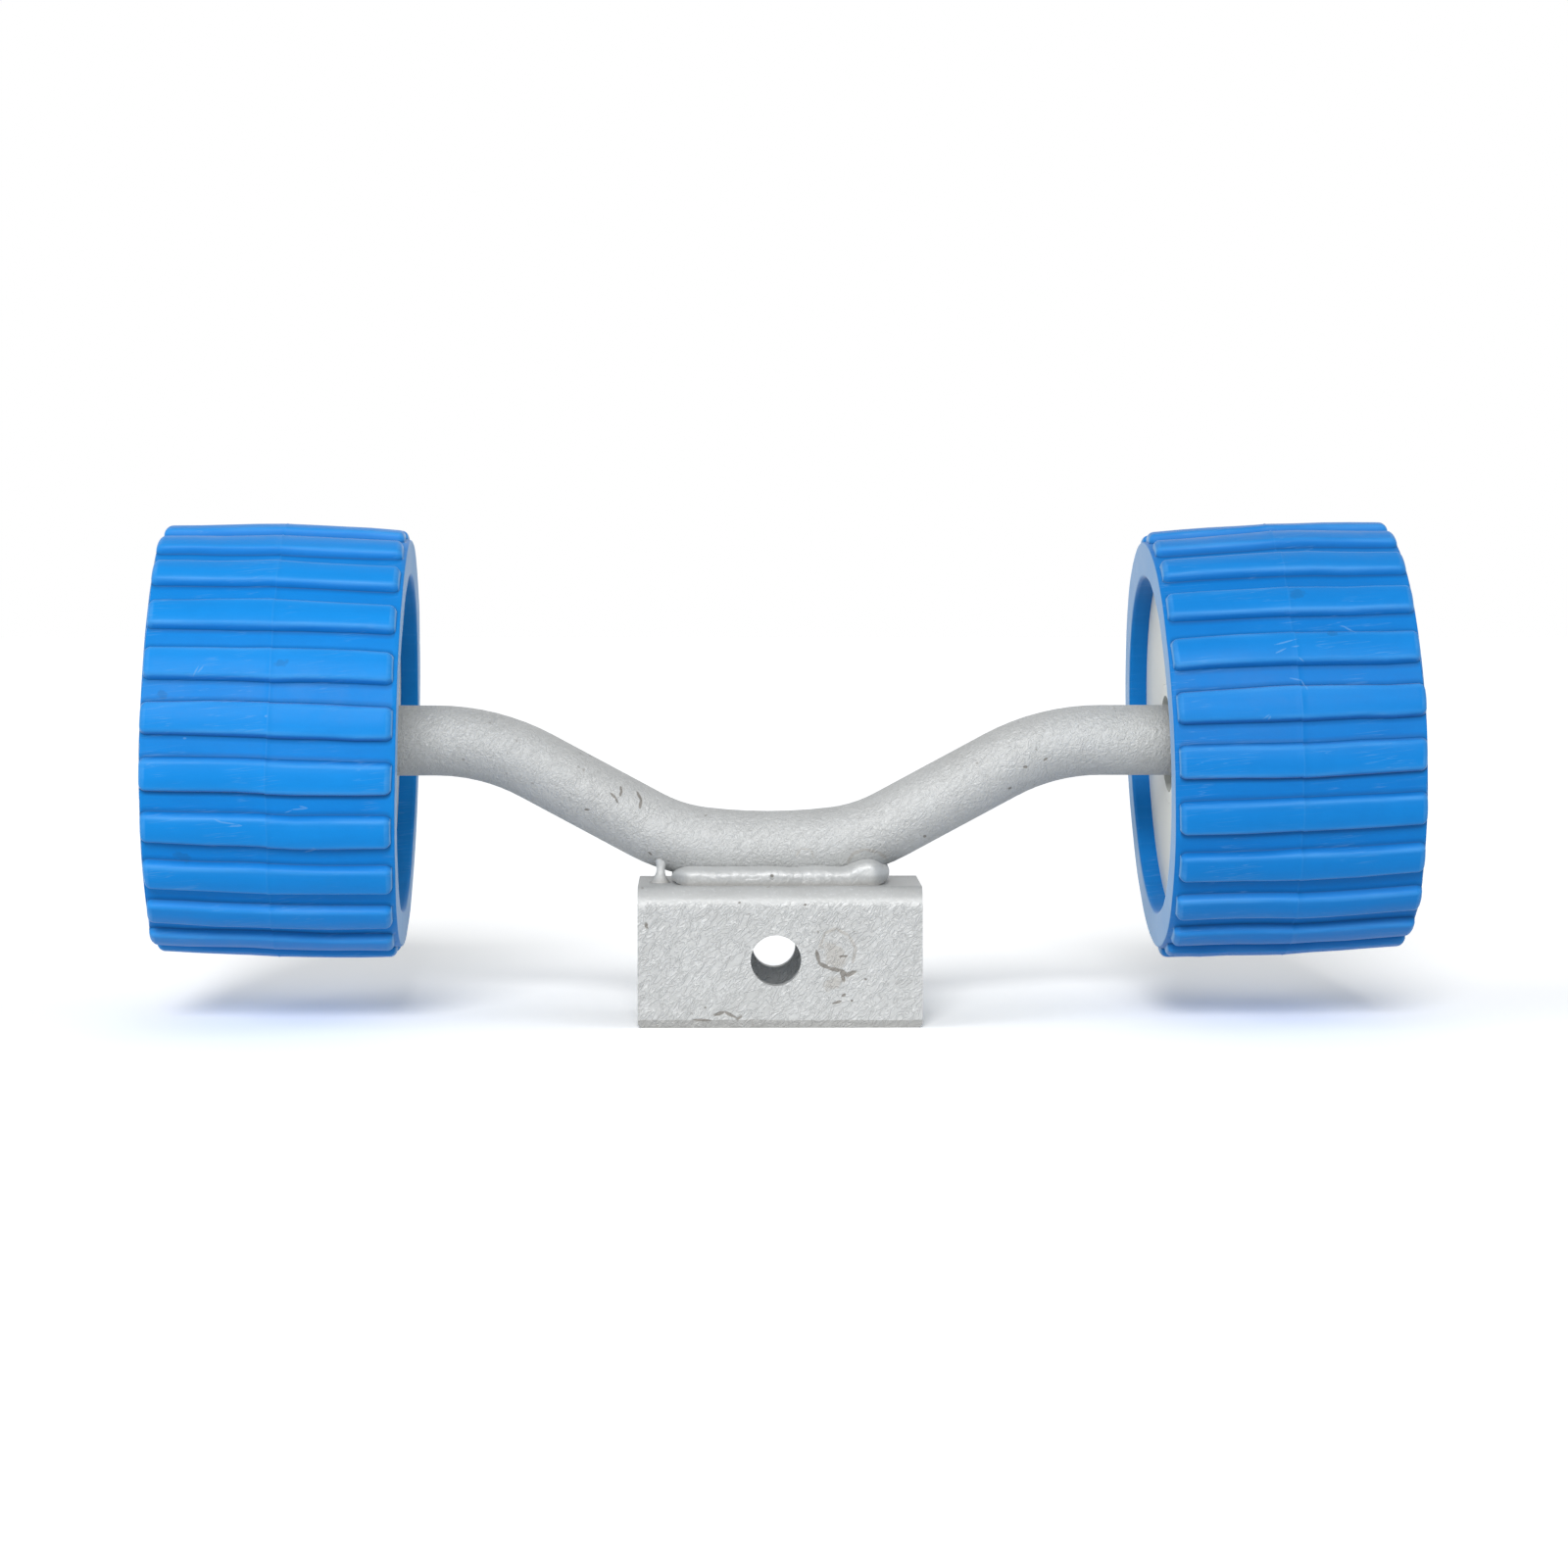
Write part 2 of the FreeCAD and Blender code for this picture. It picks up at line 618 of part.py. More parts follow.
def make_hub_outer(side):
    """Hub half on the outer side: as the inner one, with a pocket round the bar end."""
    body = new_body(f"{side}_hub_outer")
    half_web = "(web_thickness / 2)"
    pocket_radius = "(pocket_diameter / 2)"
    pocket_outside = "(pocket_diameter / 2 + pocket_wall)"
    pocket_back = f"({POCKET_FLOOR} - pocket_wall)"
    cup = outline(body, "section", "XZ_Plane", [
        (COLLAR_SEAT, BOSS_BORE),
        (COLLAR_SEAT, COLLAR_BORE),
        ("0", COLLAR_BORE),
        ("0", BOSS_RADIUS),
        (pocket_back, BOSS_RADIUS),
        (pocket_back, pocket_outside),
        (DISC_BACK, pocket_outside),
        (DISC_BACK, BARREL_INSIDE),
        (half_web, BARREL_INSIDE),
        (half_web, BARREL_RADIUS),
        (DISC_FACE, BARREL_RADIUS),
        (DISC_FACE, pocket_radius),
        (POCKET_FLOOR, pocket_radius),
        (POCKET_FLOOR, BOSS_BORE),
    ])
    turned(body, "cup", cup)
    disc_middle = f"({DISC_BACK} + disc_thickness / 2)"
    rib_end = f"({half_web} + hub_rib_gap)"
    hub_ribs(body, "stiff", [
        (rib_end, f"{BOSS_RADIUS} - boss_wall / 2"),
        (f"{pocket_back} + pocket_wall / 2", f"{BOSS_RADIUS} - boss_wall / 2"),
        (f"{pocket_back} + pocket_wall / 2", f"{pocket_radius} + pocket_wall / 2"),
        (disc_middle, f"{pocket_radius} + pocket_wall / 2"),
        (disc_middle, f"{BARREL_INSIDE} + barrel_wall / 2"),
        (rib_end, f"{BARREL_INSIDE} + barrel_wall / 2"),
    ])
    across, up, post = screw_posts(body, "", disc_middle)
    round_pattern(body, "posts", [post], "screw_count")
    shank = circle(body, "shank", "YZ_Plane", across, up, "screw_diameter + 2 * screw_clearance")
    hole = pocket(body, "shank", shank, DISC_FACE, True)
    round_pattern(body, "shanks", [hole], "screw_count")
    sunk = "screw_head_diameter + 2 * screw_clearance"
    head = circle(body, "head", "YZ_Plane", across, up, sunk, SCREW_SEAT)
    counterbore = pocket(body, "head", head, "2 * screw_sink", True)
    round_pattern(body, "heads", [counterbore], "screw_count")
    place_as_roller(body, side)
    return finish(body)


def make_hub_screws(side):
    """Pan head screws that clamp the two hub halves on the tyre's web."""
    body = new_body(f"{side}_hub_screws")
    body.AllowCompound = True
    axis = "(screw_circle / 2)"
    shank = f"({axis} + screw_diameter / 2)"
    head = f"({axis} + screw_head_diameter / 2)"
    crown = f"({SCREW_SEAT} + screw_head_height)"
    profile = outline(body, "section", "XZ_Plane", [
        (f"{SCREW_SEAT} - screw_length", axis),
        (f"{SCREW_SEAT} - screw_length", shank),
        (SCREW_SEAT, shank),
        (SCREW_SEAT, head),
        (f"{crown} - screw_head_bevel", head),
        (crown, f"{head} - screw_head_bevel"),
        (crown, axis),
    ])
    screw = body.newObject("PartDesign::Revolution", f"{body.Name}_screw")
    screw.Profile = profile
    screw.ReferenceAxis = (profile, ["Edge7"])
    screw.Angle = 360
    doc.recompute()
    round_pattern(body, "screws", [screw], "screw_count")
    place_as_roller(body, side, "-screw_turn_angle")
    return finish(body)


# Bush, washer and split pin

def make_bush(side):
    """Sleeve with a waisted bore: it leans on the bar, and its collar is held in the hub."""
    body = new_body(f"{side}_wobble_bush")
    radius = "(bush_diameter / 2)"
    slope = "flare_angle * 1 deg"
    waist = "(bar_diameter / 2 + throat_clearance)"
    waist_end = "(waist_width / 2)"

    def flare(place):
        return f"{waist} + ({place} - {waist_end}) * tan({slope})"

    section = outline(body, "section", "XZ_Plane", [
        (f"-{DISC_FACE}", flare(DISC_FACE)),
        (f"-{DISC_FACE}", radius),
        ("-collar_width / 2", radius),
        ("-collar_width / 2", "collar_diameter / 2"),
        ("collar_width / 2", "collar_diameter / 2"),
        ("collar_width / 2", radius),
        (BUSH_END, radius),
        (BUSH_END, flare(BUSH_END)),
        (waist_end, waist),
        (f"-{waist_end}", waist),
    ])
    turned(body, "sleeve", section)
    place_as_roller(body, side)
    return finish(body)


def make_washer(side):
    """Plain washer on the stub, between bush and split pin."""
    body = new_body(f"{side}_washer")
    end = f"({WASHER_PLACE} + washer_thickness)"
    section = outline(body, "section", "XZ_Plane", [
        (WASHER_PLACE, "washer_bore / 2"),
        (end, "washer_bore / 2"),
        (end, "washer_diameter / 2"),
        (WASHER_PLACE, "washer_diameter / 2"),
    ])
    turned(body, "ring", section)
    place_on_stub(body, side)
    return finish(body)


def make_split_pin(side):
    """Split pin of half round wire: an eye above the bar, and two legs bent apart below it.

    The path is the wire's flat side, from one leg's tip round the eye to the other's.
    """
    gap = number("pin_slit") / 2
    wire = number("pin_diameter") / 2 - gap
    eye = number("pin_eye_radius")
    neck = number("pin_neck_radius")
    bend = number("pin_bend_radius")
    leg = number("pin_leg")
    place = number(PIN_PLACE)
    start = number("bar_diameter / 2 + pin_stand")
    eye_up = start + math.sqrt((eye + neck) ** 2 - (gap + neck) ** 2)
    eye_turn = math.acos((gap + neck) / (eye + neck))

    def at(across, up):
        return Vector(place, across, up)

    def leg_edges(way):
        tip = at(way * (gap + bend + leg), -start - bend)
        foot = at(way * (gap + bend), -start - bend)
        reach = bend * math.sqrt(0.5)
        elbow = at(way * (gap + bend - reach), -start - reach)
        knee = at(way * gap, -start)
        throat = at(way * gap, start)
        half = eye_turn / 2
        shoulder = at(way * (gap + neck - neck * math.cos(half)), start + neck * math.sin(half))
        join = at(way * eye * math.cos(eye_turn), eye_up - eye * math.sin(eye_turn))
        edges = [
            Part.makeLine(tip, foot),
            Part.Arc(foot, elbow, knee).toShape(),
            Part.makeLine(knee, throat),
            Part.Arc(throat, shoulder, join).toShape(),
        ]
        return edges, tip, join

    near, tip, first = leg_edges(1)
    far, _, last = leg_edges(-1)
    loop = Part.Arc(first, at(0, eye_up + eye), last).toShape()
    path = Part.Wire(near + [loop] + far[::-1])
    side_a = tip - Vector(wire, 0, 0)
    side_b = tip + Vector(wire, 0, 0)
    top = tip + Vector(0, 0, wire)
    section = Part.Wire([Part.makeLine(side_a, side_b), Part.Arc(side_b, top, side_a).toShape()])
    pin = doc.addObject("Part::Feature", f"{side}_split_pin")
    pin.Label = f"{side}_split_pin"
    pin.Shape = path.makePipeShell([section], True, False)
    place_on_stub(pin, side)
    return finish(pin)


for side in SIDES:
    make_tyre(side)
    make_hub_inner(side)
    make_hub_outer(side)
    make_hub_screws(side)
    make_bush(side)
    make_washer(side)
    make_split_pin(side)
make_bracket()
bar = make_bar()
make_weld("weld_front", -1, bar)
make_weld("weld_rear", 1, bar)


# Check every object, then write one file for each sub-part

def check(part):
    """Stop if anything failed while it was worked out."""
    bad = {"Invalid", "Error"} & set(part.State)
    if bad:
        raise RuntimeError(f"{part.Name} is {bad}")


doc.recompute()
for thing in doc.Objects:
    check(thing)
os.makedirs("parts", exist_ok=True)
for part in finished:
    if part.Shape.isNull() or not part.Shape.isValid():
        raise RuntimeError(f"{part.Label} has no valid shape")
    part.Shape.exportStep(f"parts/{part.Label}.step")
    print(part.Label, len(part.Shape.Solids), round(part.Shape.Volume), part.Shape.BoundBox)
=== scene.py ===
import json
import math

import bmesh
import bpy
from mathutils import Matrix, Vector, noise as lattice


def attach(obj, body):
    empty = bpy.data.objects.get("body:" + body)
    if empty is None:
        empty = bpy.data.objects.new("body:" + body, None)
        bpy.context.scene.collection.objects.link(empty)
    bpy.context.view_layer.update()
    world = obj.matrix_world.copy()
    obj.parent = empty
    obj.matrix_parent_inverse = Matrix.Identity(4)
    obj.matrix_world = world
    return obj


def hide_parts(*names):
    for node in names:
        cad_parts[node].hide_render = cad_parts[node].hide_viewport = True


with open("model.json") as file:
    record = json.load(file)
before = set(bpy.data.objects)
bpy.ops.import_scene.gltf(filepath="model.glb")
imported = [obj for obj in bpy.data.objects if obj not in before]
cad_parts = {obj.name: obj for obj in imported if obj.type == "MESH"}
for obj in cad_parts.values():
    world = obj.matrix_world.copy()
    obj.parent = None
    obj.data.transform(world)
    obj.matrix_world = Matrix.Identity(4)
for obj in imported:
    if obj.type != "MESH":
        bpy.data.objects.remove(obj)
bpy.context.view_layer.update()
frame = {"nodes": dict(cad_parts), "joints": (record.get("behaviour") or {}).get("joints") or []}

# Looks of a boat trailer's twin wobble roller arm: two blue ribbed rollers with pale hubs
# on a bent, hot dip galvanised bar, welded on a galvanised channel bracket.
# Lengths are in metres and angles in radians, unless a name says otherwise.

MM = 0.001
SIDES = ("left", "right")
nodes = frame["nodes"]


# Driving sizes, as in the part

STUB_HEIGHT = 79.7 * MM
ROLLER_WIDTH = 69.2 * MM
ROLLER_RADIUS = 61.5 * MM
MOULD_DRAFT = math.radians(1.5)
RIB_COUNT = 24
RIB_HEIGHT = 2.8 * MM
RIB_HALF_WIDTH = 4.2 * MM
RIB_END_HALF_WIDTH = 4 * MM
RIB_FLARE = 0.4 * MM
SEAT_RADIUS = 47.7 * MM
WEB_HALF = 5 * MM
WEB_BORE_RADIUS = 40 * MM
ROLLER_TURN = {"left": math.radians(8.3), "right": math.radians(2.4)}

BRACKET_TOP = 39.5 * MM
BRACKET_FRONT = -24 * MM
BAR_RADIUS = 10 * MM
CRANK_SHIFT = -3 * MM
SADDLE_RADIUS = 155 * MM
SADDLE_ANGLE = math.radians(7)
FOOT_RADIUS = 45.5 * MM
WELD_HALF_LENGTH = 31 * MM
WELD_SHIFT = 0.4 * MM
WELD_FOOT = 17.4 * MM
WELD_ROOT = 3.5 * MM

SCREW_COUNT = 4
SCREW_CIRCLE_RADIUS = 33 * MM
SCREW_TURN = math.radians(22.5)
SCREW_SEAT = 26.4 * MM
SCREW_LENGTH = 42 * MM
SCREW_RADIUS = 2 * MM
HEAD_RADIUS = 4 * MM
HEAD_HEIGHT = 2.6 * MM
HEAD_ROUND = 1 * MM


# Camera, at the photograph's angle

TARGET = Vector((1.44, 0, 67.2)) * MM
CAMERA_DISTANCE = 1255.7 * MM
CAMERA_ELEVATION = math.radians(3.45)
CAMERA_SIDE = math.radians(0.92)
LENS_MM = 101.1
SENSOR_MM = 36


def add_camera():
    """A long lens, almost level with the part."""
    level = math.cos(CAMERA_ELEVATION)
    look = Vector((
        level * math.sin(CAMERA_SIDE),
        level * math.cos(CAMERA_SIDE),
        -math.sin(CAMERA_ELEVATION),
    ))
    data = bpy.data.cameras.new("camera")
    data.lens = LENS_MM
    data.sensor_width = SENSOR_MM
    data.clip_start = 0.01
    camera = bpy.data.objects.new("camera", data)
    camera.location = TARGET - look * CAMERA_DISTANCE
    camera.rotation_euler = look.to_track_quat("-Z", "Y").to_euler()
    bpy.context.scene.collection.objects.link(camera)
    bpy.context.scene.camera = camera


# Node helpers

def add(tree, kind, inputs=None, **settings):
    """Add a node, set its properties, and set or link its inputs."""
    node = tree.nodes.new(kind)
    for name, value in settings.items():
        setattr(node, name, value)
    for name, value in (inputs or {}).items():
        if isinstance(value, bpy.types.NodeSocket):
            tree.links.new(value, node.inputs[name])
        else:
            node.inputs[name].default_value = value
    return node


def calculate(tree, operation, first, second=0.0, clamp=False):
    """The result of one Math node."""
    node = add(tree, "ShaderNodeMath", {0: first, 1: second}, operation=operation, use_clamp=clamp)
    return node.outputs[0]


def vector_math(tree, operation, first, second):
    """The result of one Vector Math node."""
    return add(tree, "ShaderNodeVectorMath", {0: first, 1: second}, operation=operation).outputs[0]


def scaled(tree, vector, scale):
    """A vector times a number."""
    return add(tree, "ShaderNodeVectorMath", {0: vector, "Scale": scale}, operation="SCALE").outputs[0]


def map_range(tree, value, low, high, new_low=0.0, new_high=1.0):
    """Value, stretched smoothly from one range to another."""
    ends = {"Value": value, "From Min": low, "From Max": high, "To Min": new_low, "To Max": new_high}
    return add(tree, "ShaderNodeMapRange", ends, interpolation_type="SMOOTHSTEP").outputs["Result"]


def mix_colour(tree, share, first, second):
    """Two colours, mixed by a share."""
    node = tree.nodes.new("ShaderNodeMix")
    node.data_type = "RGBA"
    for index, value in ((0, share), (6, first), (7, second)):
        if isinstance(value, bpy.types.NodeSocket):
            tree.links.new(value, node.inputs[index])
        else:
            node.inputs[index].default_value = value
    return node.outputs[2]


def tint(tree, colour, other, mask, amount):
    """A colour with an amount of another where the mask is 1."""
    return mix_colour(tree, calculate(tree, "MULTIPLY", mask, amount), colour, other)


def noise(tree, place, scale, detail=2.0, roughness=0.5, **settings):
    """A noise value from 0 to 1, about scale features in a metre."""
    inputs = {"Vector": place, "Scale": scale, "Detail": detail, "Roughness": roughness}
    return add(tree, "ShaderNodeTexNoise", inputs, **settings).outputs[0]


def new_group(name, inputs, outputs):
    """An empty shader node group: inputs and outputs are (name, socket type, default)."""
    tree = bpy.data.node_groups.new(name, "ShaderNodeTree")
    for in_out, sockets in (("INPUT", inputs), ("OUTPUT", outputs)):
        for socket_name, kind, default in sockets:
            socket = tree.interface.new_socket(socket_name, in_out=in_out, socket_type=f"NodeSocket{kind}")
            if default is not None:
                socket.default_value = default
    entry = tree.nodes.new("NodeGroupInput")
    leave = tree.nodes.new("NodeGroupOutput")
    return tree, entry.outputs, leave.inputs


def use_group(tree, group, inputs):
    """Place a group in a material."""
    node = tree.nodes.new("ShaderNodeGroup")
    node.node_tree = group
    for name, value in inputs.items():
        if isinstance(value, bpy.types.NodeSocket):
            tree.links.new(value, node.inputs[name])
        else:
            node.inputs[name].default_value = value
    return node.outputs


# Shared surface effects

def make_mark_group():
    """One ragged oval mark: 1 inside, 0 outside."""
    tree, given, result = new_group("ragged_mark", [
        ("Place", "Vector", None),
        ("Centre", "Vector", None),
        ("Half Size", "Vector", (0.01, 0.01, 0.01)),
        ("Turn", "Float", 0.0),
        ("Raggedness", "Float", 0.4),
        ("Fineness", "Float", 500.0),
    ], [("Mask", "Float", None)])
    offset = vector_math(tree, "SUBTRACT", given["Place"], given["Centre"])
    turned = add(tree, "ShaderNodeVectorRotate", {
        "Vector": offset,
        "Axis": (0, 1, 0),
        "Angle": given["Turn"],
    }, rotation_type="AXIS_ANGLE").outputs[0]
    shrunk = vector_math(tree, "DIVIDE", turned, given["Half Size"])
    reach = add(tree, "ShaderNodeVectorMath", {0: shrunk}, operation="LENGTH").outputs["Value"]
    torn = noise(tree, given["Place"], given["Fineness"], 3.0, 0.6)
    spread = calculate(tree, "MULTIPLY", calculate(tree, "SUBTRACT", torn, 0.5), given["Raggedness"])
    edge = calculate(tree, "ADD", reach, calculate(tree, "MULTIPLY", spread, 4.0))
    tree.links.new(map_range(tree, edge, 1.15, 0.7), result["Mask"])
    return tree


def make_mottle_group():
    """Cloudy change of tone: broad clouds with finer ones in them."""
    tree, given, result = new_group("cloudy_tone", [
        ("Place", "Vector", None),
        ("Broad", "Float", 40.0),
        ("Fine", "Float", 250.0),
        ("Contrast", "Float", 1.0),
    ], [("Tone", "Float", None)])
    broad = noise(tree, given["Place"], given["Broad"], 3.0, 0.6)
    fine = noise(tree, given["Place"], given["Fine"], 4.0, 0.65)
    broad_share = calculate(tree, "MULTIPLY", broad, 0.6)
    fine_share = calculate(tree, "MULTIPLY", fine, 0.4)
    both = calculate(tree, "ADD", broad_share, fine_share)
    centred = calculate(tree, "SUBTRACT", both, 0.5)
    spread = calculate(tree, "MULTIPLY", centred, given["Contrast"])
    tree.links.new(calculate(tree, "ADD", spread, 0.5, clamp=True), result["Tone"])
    return tree


def make_grain_group():
    """Fine grain of a cast or dipped surface: a height and a tone."""
    tree, given, result = new_group("fine_grain", [
        ("Place", "Vector", None),
        ("Fineness", "Float", 1400.0),
    ], [("Height", "Float", None), ("Tone", "Float", None)])
    height = noise(tree, given["Place"], given["Fineness"], 3.0, 0.7)
    shifted = vector_math(tree, "ADD", given["Place"], (0.31, 0.17, 0.53))
    tone = noise(tree, shifted, calculate(tree, "MULTIPLY", given["Fineness"], 0.8), 2.0, 0.6)
    tree.links.new(height, result["Height"])
    tree.links.new(tone, result["Tone"])
    return tree


def make_scratch_group():
    """Fine scratches that run about one way, turned about the Y axis."""
    tree, given, result = new_group("fine_scratches", [
        ("Place", "Vector", None),
        ("Turn", "Float", 0.0),
        ("Across", "Float", 900.0),
        ("Along", "Float", 40.0),
        ("Amount", "Float", 0.5),
    ], [("Mask", "Float", None)])
    turned = add(tree, "ShaderNodeVectorRotate", {
        "Vector": given["Place"],
        "Axis": (0, 1, 0),
        "Angle": given["Turn"],
    }, rotation_type="AXIS_ANGLE").outputs[0]
    stretch = add(tree, "ShaderNodeCombineXYZ", {
        "X": given["Along"],
        "Y": given["Along"],
        "Z": given["Across"],
    }).outputs[0]
    lines = noise(tree, vector_math(tree, "MULTIPLY", turned, stretch), 1.0, 2.0, 0.6)
    off_line = calculate(tree, "ABSOLUTE", calculate(tree, "SUBTRACT", lines, 0.5))
    thin = map_range(tree, off_line, 0.02, 0.0)
    patches = map_range(tree, noise(tree, given["Place"], 60.0, 2.0), 0.5, 0.62)
    both = calculate(tree, "MULTIPLY", thin, patches)
    tree.links.new(calculate(tree, "MULTIPLY", both, given["Amount"]), result["Mask"])
    return tree


MARK = make_mark_group()
MOTTLE = make_mottle_group()
GRAIN = make_grain_group()
SCRATCHES = make_scratch_group()


def new_material(name):
    """A material with its shader, its output and the place on the surface."""
    material = bpy.data.materials.new(name)
    material.use_nodes = True
    tree = material.node_tree
    shader = tree.nodes["Principled BSDF"]
    place = tree.nodes.new("ShaderNodeTexCoord").outputs["Object"]
    return material, tree, shader, place


MARK_DEPTH = 12 * MM


def marks_together(tree, place, marks):
    """The masks of several marks as one. A mark is (x, y, z, half x, half z, turn, raggedness)."""
    total = None
    for x, y, z, half_x, half_z, turn, ragged in marks:
        mask = use_group(tree, MARK, {
            "Place": place,
            "Centre": (x * MM, y * MM, z * MM),
            "Half Size": (half_x * MM, MARK_DEPTH, half_z * MM),
            "Turn": math.radians(turn),
            "Raggedness": ragged,
        })["Mask"]
        total = mask if total is None else calculate(tree, "MAXIMUM", total, mask)
    return total


# Galvanised steel

ZINC_DARK = (0.43, 0.435, 0.43, 1)
ZINC_PALE = (0.56, 0.57, 0.57, 1)
ZINC_STAIN = (0.20, 0.185, 0.165, 1)
ZINC_TAN = (0.37, 0.345, 0.31, 1)
ZINC_BRIGHT = (0.72, 0.73, 0.73, 1)
ZINC_CLOUDS = {"Broad": 60.0, "Fine": 520.0, "Contrast": 2.0}
ZINC_RELIEF = 0.35 * MM
GRAIN_FINENESS = 1100.0
PAINTED_SPARKLE_AMOUNT = 0.45
PIT_FINENESS = 420.0
PIT_AMOUNT = 0.5
STAIN_AND_SHADOW_AMOUNT = 0.5
MARK_AMOUNT = 0.88
MARK_SINK = 0.3
STROKE_TURN = math.radians(50)
STROKE_STRETCH = (260.0, 500.0, 620.0)
STROKE_HALF_WIDTH = 0.09
SHEARED_TOP = 2.9 * MM
SHEARED_WANDER = 1.6 * MM
SHEARED_FADE = 0.2 * MM
SHEARED_DARKNESS = 0.35
LIP_HALF_WIDTH = 0.35 * MM
LIP_DARKNESS = 0.4
FOLD_FOOT = 36 * MM
FOLD_FADE = 2 * MM
# Heights of the weld's painted shade at its foot and painted highlight on its ridge
WELD_SHADE_FOOT = 39.5 * MM
WELD_SHADE_TOP = 41.5 * MM
WELD_HIGHLIGHT_FOOT = 43 * MM
WELD_FOOT_SHADE = 0.4
WELD_RIDGE_HIGHLIGHT = 0.6


def galvanised(form, marks, stains_and_shadow, strokes, grains, metallic, rough=0.0):
    """Hot dip zinc: cloudy grey and grainy, with painted glints as bright specks, slanting wormy ridges, dark
    marks and stains; a few of the marks and stains are painted shade and shadow.

    The bracket is smooth over its fold and dark along its sheared edge. A weld has painted shade, tan, at its
    foot and a painted highlight on its ridge. Strokes and grains are the heights of ridges and grain.
    """
    material, tree, shader, place = new_material(f"{form}_zinc")
    tone = use_group(tree, MOTTLE, {"Place": place, **ZINC_CLOUDS})["Tone"]
    grain = use_group(tree, GRAIN, {"Place": place, "Fineness": GRAIN_FINENESS})
    turned = add(tree, "ShaderNodeVectorRotate", {
        "Vector": place,
        "Axis": (0, 1, 0),
        "Angle": STROKE_TURN,
    }, rotation_type="AXIS_ANGLE").outputs[0]
    drawn = vector_math(tree, "MULTIPLY", turned, STROKE_STRETCH)
    wander = add(tree, "ShaderNodeTexNoise", {
        "Vector": drawn,
        "Scale": 1.0,
        "Detail": 2.0,
        "Roughness": 0.6,
        "Distortion": 0.9,
    }).outputs[0]
    off_ridge = calculate(tree, "ABSOLUTE", calculate(tree, "SUBTRACT", wander, 0.5))
    stroke = map_range(tree, off_ridge, STROKE_HALF_WIDTH, 0.0)
    height = add(tree, "ShaderNodeSeparateXYZ", {0: place}).outputs["Z"]
    if form == "bracket":
        below_fold = map_range(tree, height, FOLD_FOOT, FOLD_FOOT - FOLD_FADE)
        stroke = calculate(tree, "MULTIPLY", stroke, below_fold)
    colour = mix_colour(tree, tone, ZINC_DARK, ZINC_PALE)
    colour = tint(tree, colour, ZINC_BRIGHT, stroke, 0.25 * strokes)
    # Painted glints: bright specks of zinc colour where the grain's tone is high
    painted_sparkle = map_range(tree, grain["Tone"], 0.55, 0.8, 0.0, PAINTED_SPARKLE_AMOUNT)
    colour = mix_colour(tree, painted_sparkle, colour, ZINC_BRIGHT)
    pits = map_range(tree, noise(tree, place, PIT_FINENESS, 1.0), 0.27, 0.2, 0.0, PIT_AMOUNT)
    colour = mix_colour(tree, pits, colour, ZINC_STAIN)
    # Painted highlight on the weld's ridge and painted shade at its foot, coloured by height
    if form == "weld":
        painted_ridge_highlight = map_range(tree, height, WELD_SHADE_TOP, WELD_HIGHLIGHT_FOOT, 0.0, WELD_RIDGE_HIGHLIGHT)
        colour = mix_colour(tree, painted_ridge_highlight, colour, ZINC_BRIGHT)
        foot = map_range(tree, height, WELD_SHADE_TOP, WELD_SHADE_FOOT, 0.0, WELD_FOOT_SHADE)
        colour = mix_colour(tree, foot, colour, ZINC_TAN)
    if form == "bracket":
        uneven = calculate(tree, "MULTIPLY", noise(tree, place, 90.0, 3.0), SHEARED_WANDER)
        edge = calculate(tree, "ADD", height, uneven)
        highest = SHEARED_TOP + SHEARED_FADE
        band = map_range(tree, edge, highest, SHEARED_TOP - SHEARED_FADE, 0.0, SHEARED_DARKNESS)
        off_lip = calculate(tree, "ABSOLUTE", calculate(tree, "SUBTRACT", edge, SHEARED_TOP))
        lip = map_range(tree, off_lip, LIP_HALF_WIDTH, 0.0, 0.0, LIP_DARKNESS)
        colour = mix_colour(tree, calculate(tree, "MAXIMUM", band, lip), colour, ZINC_STAIN)
    # Stains, and on the bar a painted shadow arc over the weld's nugget
    if stains_and_shadow:
        colour = tint(tree, colour, ZINC_TAN, marks_together(tree, place, stains_and_shadow), STAIN_AND_SHADOW_AMOUNT)
    # Dark marks; on the weld the one mark is painted shade in its crater
    mask = marks_together(tree, place, marks)
    colour = tint(tree, colour, ZINC_STAIN, mask, MARK_AMOUNT)
    relief = calculate(tree, "MULTIPLY", stroke, strokes)
    relief = calculate(tree, "ADD", relief, calculate(tree, "MULTIPLY", grain["Height"], grains))
    relief = calculate(tree, "SUBTRACT", relief, calculate(tree, "MULTIPLY", mask, MARK_SINK))
    bump = add(tree, "ShaderNodeBump", {"Height": relief, "Strength": 0.7, "Distance": ZINC_RELIEF})
    tree.links.new(colour, shader.inputs["Base Color"])
    tree.links.new(map_range(tree, tone, 0.0, 1.0, 0.40 + rough, 0.56 + rough), shader.inputs["Roughness"])
    tree.links.new(bump.outputs[0], shader.inputs["Normal"])
    shader.inputs["Metallic"].default_value = metallic
    return material


# Moulded blue rubber of the tyres

BLUE = (0.004, 0.275, 0.79, 1)
BLUE_DEEP_TONE_AND_SHADE = (0.002, 0.145, 0.47, 1)
BLUE_CREASE_SHADE = (0.003, 0.06, 0.20, 1)
BLUE_WEAR_AND_HIGHLIGHT = (0.16, 0.47, 0.88, 1)
BLUE_SMUDGE = (0.012, 0.10, 0.25, 1)
BLUE_SCUFF = (0.24, 0.47, 0.76, 1)
BLUE_FACE_SHEEN = (0.28, 0.62, 0.92, 1)
